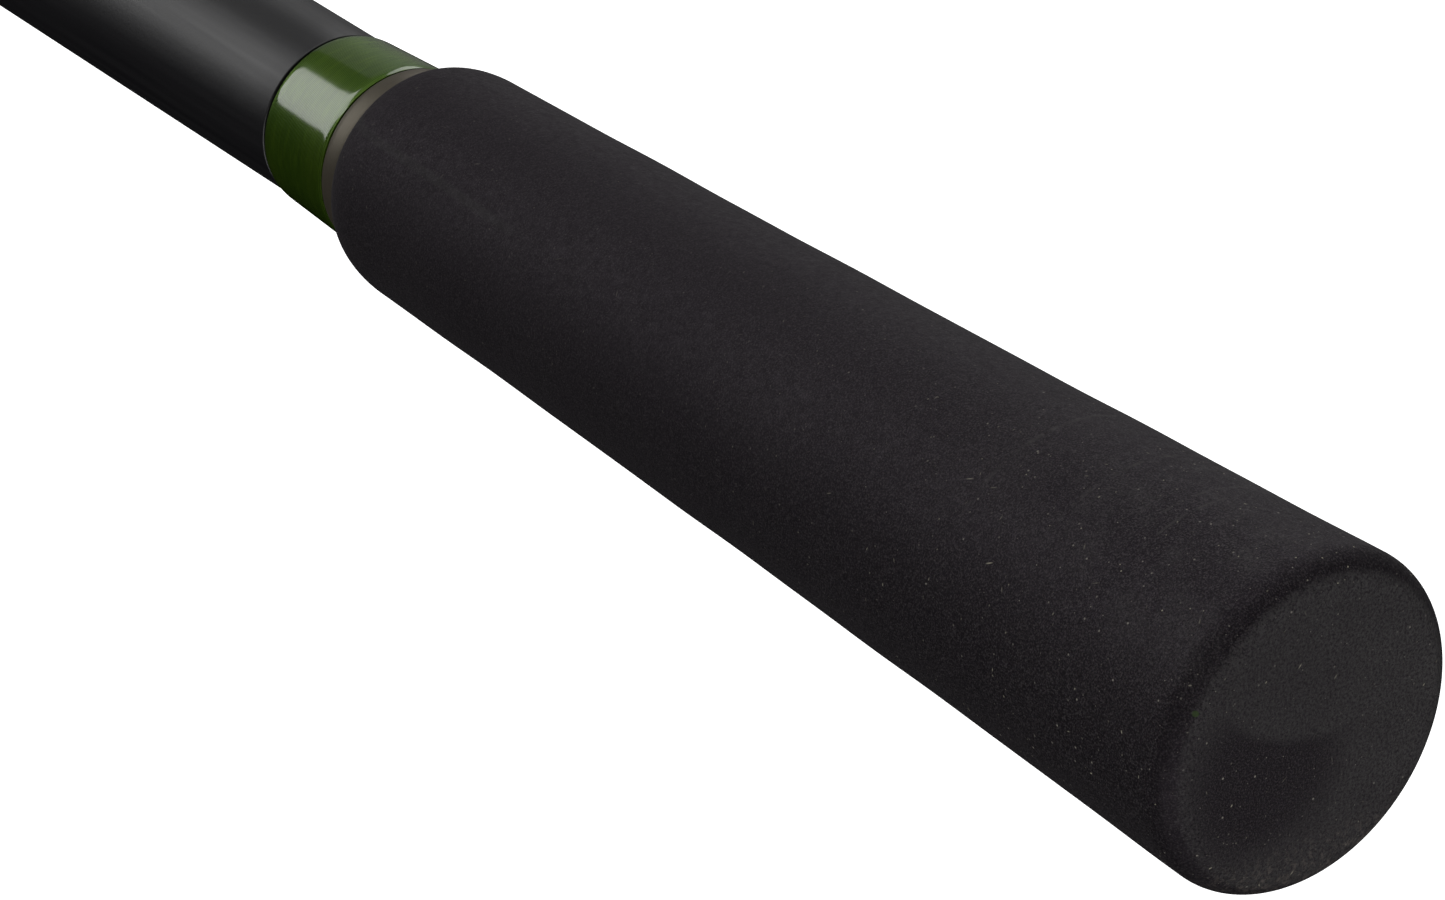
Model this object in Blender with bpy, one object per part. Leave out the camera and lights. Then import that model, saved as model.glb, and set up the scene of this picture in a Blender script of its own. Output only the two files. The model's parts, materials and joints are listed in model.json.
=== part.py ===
"""Two-piece spinning rod, modelled as an assembly of its separate pieces.

X runs along the rod from the centre of the butt face to the tip and Z is up. The rod lies
level in the attitude it is fished in, so the reel seat's platform and the guides are below
the blank. Dimensions are in millimetres; MM turns them into metres.
"""
import math

import bmesh
import bpy
from mathutils import Vector

MM = 0.001
GAP = 0.3                      # clearance between two pieces that touch

# Blank: one taper for both sections.
ROD_LENGTH = 2100.0
BLANK_BUTT_RADIUS = 8.0
BLANK_TIP_RADIUS = 1.2
BLANK_TAPER_POWER = 1.4
BLANK_WALL = 1.0
TIP_WALL = 0.5
BLANK_START = 12.3
BUTT_BLANK_END = 1040.0
TIP_BLANK_START = 1042.0
TIP_BLANK_END = 2093.0

# Handle stations, each the front end of the piece named.
GRIP_END = 131.1
BUTT_CHECK_END = 134.5
BUTT_WINDING_END = 145.5
SLEEVE_END = 338.0
MID_WINDING_END = 351.0
MID_CHECK_END = 353.0
REAR_GRIP_END = 408.0
SEAT_END = 530.0
SEAT_CHECK_END = 532.0
FOREGRIP_END = 622.0
FORE_CHECK_END = 624.0
FORE_WINDING_END = 637.0

# Butt grip.
GRIP_BUTT_RADIUS = 16.0
GRIP_TAPER = 0.0377
GRIP_CURVE = 4.93e-5
GRIP_BUTT_ROUND = 3.4
GRIP_SHOULDER = 5.5
GRIP_NECK_RADIUS = 10.0
GRIP_BORE_END = 10.5

# Trim on the handle.
SLEEVE_RADIUS = 8.85
WINDING_LOW_RADIUS = 9.1
WINDING_HIGH_RADIUS = 9.6
CHECK_RADIUS = 9.75
TRIM_EDGE = 0.3
REAR_GRIP_RADIUS = 11.7
REAR_GRIP_LIP = 0.6
FOREGRIP_RADIUS = 11.7
FOREGRIP_EDGE = 0.8
FOREGRIP_SWELL = 0.9
FOREGRIP_FALL = 1.1
FOREGRIP_SHOULDER = 11.0
FOREGRIP_NECK_RADIUS = 8.8
FORE_CHECK_RADIUS = 8.5
FORE_WINDING_RADII = (8.2, 7.8)

# Reel seat.
SEAT_BARREL_RADIUS = 11.7
SEAT_BORE_RADIUS = 9.2
SEAT_PLATFORM_DEPTH = 10.2
FIXED_HOOD_END = 436.0
HOOD_DEPTH = 18.6
HOOD_HALF_WIDTH = 12.6
HOOD_SQUARENESS = 4.0
# Fixed hood sections: station ahead of the seat's rear, radius above, depth below.
FIXED_HOOD_FORM = ((0.4, 12.0, 12.4), (3.8, 13.1, 14.6), (12.3, 13.5, 17.6), (27.0, 13.7, 18.6), (28.0, 13.2, 18.1))
FIXED_POCKET_START = 414.0
POCKET_RUN_OUT = 1.5
POCKET_HALF_WIDTH = 8.3
POCKET_MOUTH_DEPTH = 15.6
POCKET_END_DEPTH = 12.7
THREAD_START = 484.0
THREAD_PITCH = 3.0
THREAD_ROOT_RADIUS = 10.7
THREAD_CREST_RADIUS = 11.5
THREAD_CLEARANCE = 0.35
THREAD_SEGMENTS = 20
THREAD_RUN_OUT = 2.0
THREAD_BURY = 0.15
ARBOR_LENGTH = 40.0
ARBOR_INSET = 4.0
CUTTER_REACH = 20.0

# Sliding hood and locking nut, at the hood's middle setting.
HOOD_START = 476.0
HOOD_END = 498.0
HOOD_POCKET_END = 490.0
HOOD_RADIUS = 15.0
# Sliding hood sections: station ahead of its rear, radius above, depth below.
SLIDING_HOOD_FORM = ((0.0, 13.7, 18.1), (1.0, 14.3, 18.6), (11.0, 15.0, 17.8), (17.0, 15.3, 15.8),
                     (21.2, 15.3, 15.3), (22.0, 15.0, 15.0))
HOOD_BORE_RADIUS = 12.05
HOOD_COUNTERBORE_START = 494.6
HOOD_COUNTERBORE_RADIUS = 13.9
RING_GROOVE_RADIUS = 14.5
RING_GROOVE_INSET = 0.1
NUT_FLANGE_START = 495.0
NUT_NECK_START = 496.2
NUT_BODY_START = 498.4
NUT_BODY_END = 513.4
NUT_END = 515.0
NUT_FLANGE_RADIUS = 13.5
NUT_NECK_RADIUS = 12.9
NUT_RADIUS = 14.6
NUT_CHAMFER = (0.8, 0.6)
NUT_RIB_DEPTH = 0.7
NUT_RIBS = 18
NUT_TRIM_INSET = 0.3

# Hook keeper.
KEEPER_STATION = 658.0
KEEPER_FOOT_REACH = 13.0
KEEPER_ARCH_HEIGHT = 2.9
KEEPER_STRAP = 0.7
KEEPER_TOE = 0.45
KEEPER_LAP = 2.5
KEEPER_HALF_WIDTH = 0.9
KEEPER_RING_RADIUS = 4.0
KEEPER_WIRE_RADIUS = 0.45

# Ferrule.
FERRULE_START = 1000.0
FERRULE_END = 1084.0
FERRULE_WALL = 1.1
FERRULE_EDGE = 0.3
FERRULE_TAPER = (6.0, 0.7)
FERRULE_WINDING = (1001.0, 1019.0)

# Guides: name, station, ring size across, ring centre below the axis, feet.
GUIDES = (
    ("stripper_guide", 930.0, 30.0, 38.0, 2),
    ("guide_2", 1240.0, 20.0, 28.0, 2),
    ("guide_3", 1450.0, 16.0, 22.0, 2),
    ("guide_4", 1620.0, 12.0, 15.5, 1),
    ("guide_5", 1765.0, 10.0, 12.5, 1),
    ("guide_6", 1890.0, 8.0, 10.0, 1),
    ("guide_7", 1998.0, 8.0, 9.0, 1),
)
FOOT_WIDTH = 3.0
FOOT_THICKNESS = 1.0
FOOT_TOE = 0.5
LEG_THICKNESS = 1.0
LEG_WIDTH = 2.0
COLLAR_WALL = 0.8
COLLAR_WIDTH = 2.0
RING_WALL_SHARE = 0.2
RING_OVERHANG = 0.3
RING_LAND_SHARE = 0.45
WINDING_WALL = 0.6
WINDING_EDGE = 0.4
FOOT_WINDING_START = 1.2
FOOT_WINDING_LAP = 2.5
FOOT_BURY = 1.1
FOOT_LENGTH_BASE = 9.0
FOOT_LENGTH_SHARE = 0.3
GUIDE_LEAN_BASE = 3.0
GUIDE_LEAN_SHARE = 0.45
LEG_SPREAD = 42.0
# How far a leg's end is set into the foot: along the rod, to the side, and down.
LEG_SEAT = (0.37, 0.43, 0.33)

# Tip top.
TIP_RING_SIZE = 8.0
TIP_RING_DROP = 6.4
TIP_TUBE_START = 2082.0
TIP_TUBE_END = 2096.0
TIP_TUBE_RADIUS = 2.2
TIP_BORE_RADIUS = 1.62
TIP_WINDING_START = 2068.0
TIP_TUBE_CROWN = 0.8
TIP_NECK_SECTION = (2.6, 1.2)
TIP_STAY_SECTION = (1.2, 0.9)
TIP_STAY_SPREAD = 65.0

MATERIALS = {
    "foam": ((0.036, 0.033, 0.037), 0.85, 0.0),
    "blank": ((0.012, 0.012, 0.014), 0.25, 0.0),
    "sleeve": ((0.012, 0.012, 0.014), 0.42, 0.0),
    "winding": ((0.10, 0.19, 0.02), 0.15, 0.0),
    "check": ((0.05, 0.045, 0.04), 0.3, 0.0),
    "seat": ((0.02, 0.02, 0.022), 0.35, 0.0),
    "arbor": ((0.35, 0.33, 0.28), 0.8, 0.0),
    "metal": ((0.16, 0.16, 0.17), 0.3, 1.0),
    "ceramic": ((0.03, 0.03, 0.035), 0.12, 0.0),
}


# ---- Helpers ---------------------------------------------------------------

def clear_scene():
    for item in list(bpy.data.objects):
        bpy.data.objects.remove(item, do_unlink=True)


def finish_of(name):
    """The material of that name, made the first time it is asked for."""
    found = bpy.data.materials.get(name)
    if found:
        return found
    colour, roughness, metallic = MATERIALS[name]
    made = bpy.data.materials.new(name)
    made.use_nodes = True
    shader = made.node_tree.nodes["Principled BSDF"]
    shader.inputs["Base Color"].default_value = (*colour, 1.0)
    shader.inputs["Roughness"].default_value = roughness
    shader.inputs["Metallic"].default_value = metallic
    return made


def add_object(name, bm, finish, parent=None):
    """Turn a bmesh into a smooth-shaded object that hangs on a body's empty."""
    bmesh.ops.remove_doubles(bm, verts=bm.verts, dist=1e-7)
    bmesh.ops.recalc_face_normals(bm, faces=bm.faces)
    mesh = bpy.data.meshes.new(name)
    bm.to_mesh(mesh)
    bm.free()
    mesh.shade_smooth()
    mesh.set_sharp_from_angle(angle=math.radians(35.0))
    made = bpy.data.objects.new(name, mesh)
    bpy.context.scene.collection.objects.link(made)
    made.data.materials.append(finish_of(finish))
    if parent:
        made.parent = parent
        made.matrix_parent_inverse = parent.matrix_world.inverted()
    return made


def add_empty(name, place, parent=None):
    """A body's empty, standing on the axis that the body moves on."""
    made = bpy.data.objects.new(name, None)
    bpy.context.scene.collection.objects.link(made)
    made.location = Vector(place) * MM
    bpy.context.view_layer.update()
    if parent:
        made.parent = parent
        made.matrix_parent_inverse = parent.matrix_world.inverted()
        bpy.context.view_layer.update()
    return made


def combine(target, operation, operand):
    """Add a Boolean with an operand that is hidden from the model."""
    operand.hide_render = True
    operand.display_type = "WIRE"
    step = target.modifiers.new(operand.name, "BOOLEAN")
    step.operation = operation
    step.solver = "EXACT"
    step.object = operand


def turned(name, outline, finish, parent=None, segments=28, closed=True, centre=(0.0, 0.0)):
    """Spin an outline of (x, radius) points about an axis along X through centre (y, z)."""
    bm = bmesh.new()
    verts = [bm.verts.new((x * MM, 0.0, radius * MM)) for x, radius in outline]
    pairs = list(zip(verts, verts[1:]))
    if closed:
        pairs.append((verts[-1], verts[0]))
    edges = [bm.edges.new(pair) for pair in pairs]
    bmesh.ops.spin(bm, geom=verts + edges, cent=(0, 0, 0), axis=(1, 0, 0), dvec=(0, 0, 0),
                   angle=2 * math.pi, steps=segments, use_merge=True)
    bmesh.ops.translate(bm, verts=bm.verts, vec=(0.0, centre[0] * MM, centre[1] * MM))
    return add_object(name, bm, finish, parent)


def rod_bar(name, start, end, radius, segments=24, centre=(0.0, 0.0)):
    """A plain cylinder along X, used as a cutter or as a core."""
    outline = [(start, 0.0), (start, radius), (end, radius), (end, 0.0)]
    return turned(name, outline, "metal", segments=segments, closed=False, centre=centre)


def hull(name, points, finish="metal"):
    """The convex solid of a few corner points."""
    bm = bmesh.new()
    for point in points:
        bm.verts.new(Vector(point) * MM)
    bmesh.ops.convex_hull(bm, input=bm.verts)
    return add_object(name, bm, finish)


def block(name, low, high):
    corners = [(x, y, z) for x in (low[0], high[0]) for y in (low[1], high[1]) for z in (low[2], high[2])]
    return hull(name, corners)


def bar(name, start, end, width, thickness):
    """A flat bar between two points, its width square to its run and as level as it can be."""
    start = Vector(start)
    end = Vector(end)
    run = (end - start).normalized()
    side = run.cross(Vector((0.0, 0.0, 1.0))).normalized() * width / 2
    rise = side.cross(run).normalized() * thickness / 2
    corners = [spot + a * side + b * rise for spot in (start, end) for a in (-1, 1) for b in (-1, 1)]
    return hull(name, corners)


def even_angles(count, first=0.0, last=2 * math.pi):
    return [first + (last - first) * step / count for step in range(count)]


def lofted(name, stations, section, finish, parent=None, bore=None, angles=None):
    """Skin sections along X. section(station, angle) gives a radius, with angle 0 pointing down.

    With bore(angle) given, the solid is a sleeve with that opening right through it.
    """
    angles = angles or even_angles(32)
    segments = len(angles)

    def ring_of(x, radius_at):
        return [bm.verts.new((x * MM, radius_at(a) * math.sin(a) * MM, -radius_at(a) * math.cos(a) * MM))
                for a in angles]

    bm = bmesh.new()
    rings = [ring_of(station[0], lambda a, s=station: section(s, a)) for station in stations]
    if bore:
        rings.append(ring_of(stations[-1][0], bore))
        rings.append(ring_of(stations[0][0], bore))
        rings.append(rings[0])
    for first, second in zip(rings, rings[1:]):
        for step in range(segments):
            after = (step + 1) % segments
            bm.faces.new((first[step], first[after], second[after], second[step]))
    if not bore:
        bm.faces.new(rings[0])
        bm.faces.new(rings[-1])
    return add_object(name, bm, finish, parent)


def arc(centre, radius_x, radius_r, first, last, steps):
    """Points of an elliptical arc in the (x, radius) plane, angles in degrees."""
    points = []
    for step in range(steps + 1):
        angle = math.radians(first + (last - first) * step / steps)
        points.append((centre[0] + radius_x * math.cos(angle), centre[1] + radius_r * math.sin(angle)))
    return points


def blank_radius(x):
    """Outer radius of the blank at a station."""
    share = (x / ROD_LENGTH) ** BLANK_TAPER_POWER
    return BLANK_TIP_RADIUS + (BLANK_BUTT_RADIUS - BLANK_TIP_RADIUS) * (1.0 - share)


# ---- Blanks and handle -----------------------------------------------------

def make_blank(name, start, end, parent, stations=6):
    """A hollow tapered tube with open ends."""
    places = [start + (end - start) * step / (stations - 1) for step in range(stations)]
    outside = [(x, blank_radius(x)) for x in places]
    inside = []
    for x in reversed(places):
        wall = BLANK_WALL + (TIP_WALL - BLANK_WALL) * x / ROD_LENGTH
        inside.append((x, blank_radius(x) - wall))
    return turned(name, outside + inside, "blank", parent, segments=16)


def grip_radius(x):
    return GRIP_BUTT_RADIUS - GRIP_TAPER * x + GRIP_CURVE * x * x


def make_butt_grip(parent):
    """Tapered foam grip, closed and rounded at the butt, bored blind from the front."""
    edge_radius = grip_radius(GRIP_BUTT_ROUND)
    shoulder = GRIP_END - GRIP_SHOULDER
    fall = grip_radius(shoulder) - GRIP_NECK_RADIUS
    bore = blank_radius(BLANK_START) + GAP
    outline = [(0.0, 0.0)]
    outline += arc((GRIP_BUTT_ROUND, edge_radius - GRIP_BUTT_ROUND), GRIP_BUTT_ROUND, GRIP_BUTT_ROUND, 180, 90, 5)
    outline += [(x, grip_radius(x)) for x in (20.0, 40.0, 60.0, 80.0, 100.0)]
    outline += arc((shoulder, GRIP_NECK_RADIUS), GRIP_SHOULDER, fall, 90, 0, 4)
    outline += [(GRIP_END, bore), (GRIP_BORE_END, bore), (GRIP_BORE_END, 0.0)]
    return turned("butt_grip", outline, "foam", parent, segments=32, closed=False)


def make_sleeve(name, start, end, radii, finish, parent, segments=20):
    """A ring or tube on the blank, with eased outer edges."""
    bore = blank_radius(start) + GAP
    first = start + GAP
    edge = TRIM_EDGE
    outline = [(first, bore), (first, radii[0] - edge), (first + edge, radii[0])]
    outline += [(end - edge, radii[1]), (end, radii[1] - edge), (end, bore)]
    return turned(name, outline, finish, parent, segments=segments)


def make_rear_seat_grip(parent):
    """Short foam cone that fairs the sleeve into the reel seat."""
    start = MID_CHECK_END + GAP
    bore = blank_radius(MID_CHECK_END) + GAP
    rise = REAR_GRIP_RADIUS - CHECK_RADIUS
    run = REAR_GRIP_END - start
    outline = [(start, bore), (start, CHECK_RADIUS - REAR_GRIP_LIP)]
    for share in (0.03, 0.25, 0.5, 0.75, 1.0):
        ease = share * share * (3.0 - 2.0 * share)
        outline.append((start + run * share, CHECK_RADIUS + rise * ease))
    outline.append((REAR_GRIP_END, bore))
    return turned("rear_seat_grip", outline, "foam", parent)


def make_foregrip(parent):
    """Foam foregrip, swelling slightly and rounded down to the blank at its front."""
    start = SEAT_CHECK_END + GAP
    bore = blank_radius(SEAT_CHECK_END) + GAP
    shoulder = FOREGRIP_END - FOREGRIP_SHOULDER
    front_radius = FOREGRIP_RADIUS - FOREGRIP_FALL
    edge = FOREGRIP_EDGE
    outline = [(start, bore), (start, FOREGRIP_RADIUS - edge), (start + edge, FOREGRIP_RADIUS)]
    for share in (0.25, 0.5, 0.75):
        swell = FOREGRIP_SWELL * math.sin(math.pi * share)
        radius = FOREGRIP_RADIUS + (front_radius - FOREGRIP_RADIUS) * share + swell
        outline.append((start + (shoulder - start) * share, radius))
    fall = front_radius - FOREGRIP_NECK_RADIUS
    outline += arc((shoulder, FOREGRIP_NECK_RADIUS), FOREGRIP_SHOULDER, fall, 90, 0, 4)
    outline.append((FOREGRIP_END, bore))
    return turned("foregrip", outline, "foam", parent)


def make_handle(root):
    make_butt_grip(root)
    rings = (CHECK_RADIUS, CHECK_RADIUS)
    low_to_high = (WINDING_LOW_RADIUS, WINDING_HIGH_RADIUS)
    high_to_low = (WINDING_HIGH_RADIUS, WINDING_LOW_RADIUS)
    make_sleeve("butt_check_ring", GRIP_END, BUTT_CHECK_END, rings, "check", root)
    make_sleeve("butt_winding", BUTT_CHECK_END, BUTT_WINDING_END, high_to_low, "winding", root)
    make_sleeve("rear_handle_sleeve", BUTT_WINDING_END, SLEEVE_END, (SLEEVE_RADIUS,) * 2, "sleeve", root)
    make_sleeve("mid_winding", SLEEVE_END, MID_WINDING_END, low_to_high, "winding", root)
    make_sleeve("mid_check_ring", MID_WINDING_END, MID_CHECK_END, rings, "check", root)
    make_rear_seat_grip(root)
    seat_ring = (SEAT_BARREL_RADIUS, SEAT_BARREL_RADIUS)
    make_sleeve("seat_check_ring", SEAT_END, SEAT_CHECK_END, seat_ring, "check", root)
    make_foregrip(root)
    fore_ring = (FORE_CHECK_RADIUS, FORE_CHECK_RADIUS)
    make_sleeve("foregrip_check_ring", FOREGRIP_END, FORE_CHECK_END, fore_ring, "check", root)
    make_sleeve("foregrip_winding", FORE_CHECK_END, FORE_WINDING_END, FORE_WINDING_RADII, "winding", root)


# ---- Reel seat -------------------------------------------------------------

def hood_section(station, angle):
    """Round above, with a squarer bulge of the station's depth below."""
    _, round_radius, depth = station
    down = max(math.cos(angle), 0.0)
    across = abs(math.sin(angle))
    power = HOOD_SQUARENESS
    bulge = ((across / HOOD_HALF_WIDTH) ** power + (down / depth) ** power) ** (-1.0 / power)
    if down <= 0.0:
        return round_radius
    return max(round_radius, bulge)


def make_thread(name, start, end, root_radius, crest_radius):
    """A solid right-hand V thread. A turn moves it by one pitch along X."""
    per_turn = THREAD_SEGMENTS
    turns = math.ceil((end - start) / THREAD_PITCH)
    steps = turns * per_turn
    bm = bmesh.new()

    def helix(radius, lead, count):
        spots = []
        for step in range(count):
            angle = 2 * math.pi * step / per_turn
            x = start + lead + THREAD_PITCH * step / per_turn
            spots.append(bm.verts.new((x * MM, radius * math.cos(angle) * MM, radius * math.sin(angle) * MM)))
        return spots

    root = helix(root_radius, 0.0, steps + per_turn + 1)
    crest = helix(crest_radius, THREAD_PITCH / 2, steps + 1)
    for step in range(steps):
        bm.faces.new((root[step], root[step + 1], crest[step + 1], crest[step]))
        bm.faces.new((crest[step], crest[step + 1], root[step + 1 + per_turn], root[step + per_turn]))
    for loop, x in ((root[:per_turn + 1] + [crest[0]], start),
                    (root[steps:] + [crest[steps]], start + turns * THREAD_PITCH + THREAD_PITCH)):
        hub = bm.verts.new((x * MM, 0.0, 0.0))
        for first, second in zip(loop, loop[1:] + loop[:1]):
            bm.faces.new((first, second, hub))
    return add_object(name, bm, "seat")


def make_pocket(name, mouth, end):
    """Wedge that a reel foot's end slides into."""
    top = -SEAT_PLATFORM_DEPTH
    corners = []
    for side in (-POCKET_HALF_WIDTH, POCKET_HALF_WIDTH):
        corners += [(mouth, side, top), (mouth, side, -POCKET_MOUTH_DEPTH)]
        corners += [(end, side, top), (end, side, -POCKET_END_DEPTH)]
    return hull(name, corners)


def make_reel_seat(root):
    """Barrel with a fixed hood, a flat foot platform and a male thread at its front."""
    start = REAR_GRIP_END + GAP
    barrel = SEAT_BARREL_RADIUS
    core = THREAD_ROOT_RADIUS - THREAD_BURY
    outline = [(start, 0.0), (start, barrel), (THREAD_START, barrel), (THREAD_START, core)]
    outline += [(SEAT_END, core), (SEAT_END, 0.0)]
    seat = turned("reel_seat_body", outline, "seat", root, segments=32, closed=False)
    stations = [(REAR_GRIP_END + ahead, above, below) for ahead, above, below in FIXED_HOOD_FORM]
    hood = lofted("fixed_hood_form", stations, hood_section, "seat")
    combine(seat, "UNION", hood)
    thread = make_thread("seat_thread_form", THREAD_START - THREAD_RUN_OUT, SEAT_END + THREAD_RUN_OUT,
                         THREAD_ROOT_RADIUS, THREAD_CREST_RADIUS)
    combine(seat, "UNION", thread)
    reach = CUTTER_REACH
    platform = block("platform_cut", (FIXED_HOOD_END + 0.01, -reach, -reach),
                     (SEAT_END + reach, reach, -SEAT_PLATFORM_DEPTH))
    combine(seat, "DIFFERENCE", platform)
    pocket = make_pocket("fixed_pocket_cut", FIXED_HOOD_END + POCKET_RUN_OUT, FIXED_POCKET_START)
    combine(seat, "DIFFERENCE", pocket)
    end_cut = block("seat_end_cut", (SEAT_END, -reach, -reach), (SEAT_END + reach, reach, reach))
    combine(seat, "DIFFERENCE", end_cut)
    bore_cut = rod_bar("seat_bore_cut", start - reach, SEAT_END + reach, SEAT_BORE_RADIUS)
    combine(seat, "DIFFERENCE", bore_cut)
    return seat


def make_arbor(name, start, end, root):
    bore = blank_radius(start) + GAP
    outer = SEAT_BORE_RADIUS - GAP
    outline = [(start, bore), (start, outer), (end, outer), (end, bore)]
    return turned(name, outline, "arbor", root, segments=20)


def keyed_bore(angle):
    """Round bore with a flat that rides on the seat's platform."""
    flat = SEAT_PLATFORM_DEPTH + GAP
    down = math.cos(angle)
    if down > 0.0 and HOOD_BORE_RADIUS * down > flat:
        return flat / down
    return HOOD_BORE_RADIUS


def make_sliding_hood(body):
    """Movable hood: pocket at its rear, a seat for the nut's flange at its front."""
    stations = [(HOOD_START + ahead, above, below) for ahead, above, below in SLIDING_HOOD_FORM]
    hood = lofted("sliding_hood", stations, hood_section, "seat", body, bore=keyed_bore,
                  angles=even_angles(36))
    pocket = make_pocket("hood_pocket_cut", HOOD_START - POCKET_RUN_OUT, HOOD_POCKET_END)
    combine(hood, "DIFFERENCE", pocket)
    counterbore = rod_bar("hood_counterbore_cut", HOOD_COUNTERBORE_START, HOOD_END + CUTTER_REACH,
                          HOOD_COUNTERBORE_RADIUS, segments=36)
    combine(hood, "DIFFERENCE", counterbore)
    groove = rod_bar("hood_groove_cut", NUT_NECK_START + RING_GROOVE_INSET, HOOD_END - RING_GROOVE_INSET,
                     RING_GROOVE_RADIUS, segments=36)
    combine(hood, "DIFFERENCE", groove)
    return hood


def make_retaining_ring(body):
    first = NUT_NECK_START + RING_GROOVE_INSET + GAP
    last = HOOD_END - RING_GROOVE_INSET - GAP
    inner = NUT_NECK_RADIUS + GAP
    outer = RING_GROOVE_RADIUS - GAP
    outline = [(first, inner), (first, outer), (last, outer), (last, inner)]
    return turned("hood_retaining_ring", outline, "metal", body, segments=28)


def make_locking_nut(body):
    """Ribbed nut with a flange held in the hood and a female thread right through it."""
    outline = [(NUT_FLANGE_START, 0.0), (NUT_FLANGE_START, NUT_FLANGE_RADIUS)]
    outline += [(NUT_NECK_START, NUT_FLANGE_RADIUS), (NUT_NECK_START, NUT_NECK_RADIUS)]
    run, fall = NUT_CHAMFER
    outline += [(NUT_BODY_START, NUT_NECK_RADIUS), (NUT_BODY_START, NUT_RADIUS - fall)]
    outline += [(NUT_BODY_START + run, NUT_RADIUS), (NUT_BODY_END - run, NUT_RADIUS)]
    outline += [(NUT_BODY_END, NUT_RADIUS - fall), (NUT_BODY_END, NUT_NECK_RADIUS)]
    outline += [(NUT_END, NUT_NECK_RADIUS), (NUT_END, 0.0)]
    nut = turned("locking_nut", outline, "seat", body, segments=2 * NUT_RIBS, closed=False)
    for vert in nut.data.vertices:
        radius = math.hypot(vert.co.y, vert.co.z)
        column = round(math.atan2(vert.co.z, vert.co.y) / (math.pi / NUT_RIBS))
        if radius > (NUT_RADIUS - 0.1) * MM and column % 2:
            shrink = 1.0 - NUT_RIB_DEPTH * MM / radius
            vert.co.y *= shrink
            vert.co.z *= shrink
    tap_start = THREAD_START - THREAD_RUN_OUT + 3 * THREAD_PITCH
    tap = make_thread("nut_tap_cut", tap_start, NUT_END + THREAD_PITCH,
                      THREAD_ROOT_RADIUS + THREAD_CLEARANCE, THREAD_CREST_RADIUS + THREAD_CLEARANCE)
    combine(nut, "DIFFERENCE", tap)
    return nut


def make_nut_trim(body):
    first = NUT_BODY_END + GAP
    inner = NUT_NECK_RADIUS + GAP
    edge = NUT_TRIM_INSET
    outer = NUT_RADIUS - edge
    outline = [(first, inner), (first, outer), (NUT_END - edge, outer), (NUT_END, outer - edge), (NUT_END, inner)]
    return turned("nut_trim_ring", outline, "metal", body, segments=28)


# ---- Fittings under thread -------------------------------------------------

def make_foot_winding(name, span, base_radius, foot_depth, foot_half_width, parent):
    """Thread wound round the blank and over a foot that lies along its underside."""
    def around(extra):
        def radius_at(angle):
            round_radius = base_radius + GAP + extra
            down = math.cos(angle)
            across = abs(math.sin(angle))
            if down <= 0.0:
                return round_radius
            depth = foot_depth + GAP + extra
            width = foot_half_width + GAP + extra
            limit = depth / down
            if across > 0.0:
                limit = min(limit, width / across)
            return max(round_radius, limit)
        return radius_at

    def section(station, angle):
        return around(station[1])(angle)

    first, last = span
    ease = WINDING_EDGE
    stations = ((first, WINDING_WALL - ease), (first + ease, WINDING_WALL), (last - ease, WINDING_WALL),
                (last, WINDING_WALL - ease))
    corner = math.atan2(foot_half_width + GAP, foot_depth + GAP)
    shore = math.asin((foot_half_width + GAP) / (base_radius + GAP))
    angles = [-shore, -corner, corner] + even_angles(14, shore, 2 * math.pi - shore)
    return lofted(name, stations, section, "winding", parent, bore=around(0.0), angles=angles)


def make_guide_ring(name, station, size, drop, parent, segments):
    """Polished ceramic liner, rounded where the line runs."""
    outer = size / 2
    inner = outer * (1.0 - RING_WALL_SHARE) - 0.4
    half = COLLAR_WIDTH / 2 + RING_OVERHANG
    land = half * RING_LAND_SHARE
    middle = (outer + inner) / 2
    outline = [(station - half, outer), (station + half, outer), (station + half, middle)]
    outline += [(station + land, inner), (station - land, inner), (station - half, middle)]
    return turned(name, outline, "ceramic", parent, segments=segments, centre=(0.0, -drop))


def make_foot(name, heel, toe, surface):
    """Foot that thins from its heel to its toe, its upper face along the blank."""
    half = FOOT_WIDTH / 2
    corners = []
    for x, width, thickness in ((heel, half, FOOT_THICKNESS), (toe, half * 0.6, FOOT_TOE)):
        for side in (-width, width):
            corners += [(x, side, -surface), (x, side, -surface - thickness)]
    return hull(name, corners)


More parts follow.
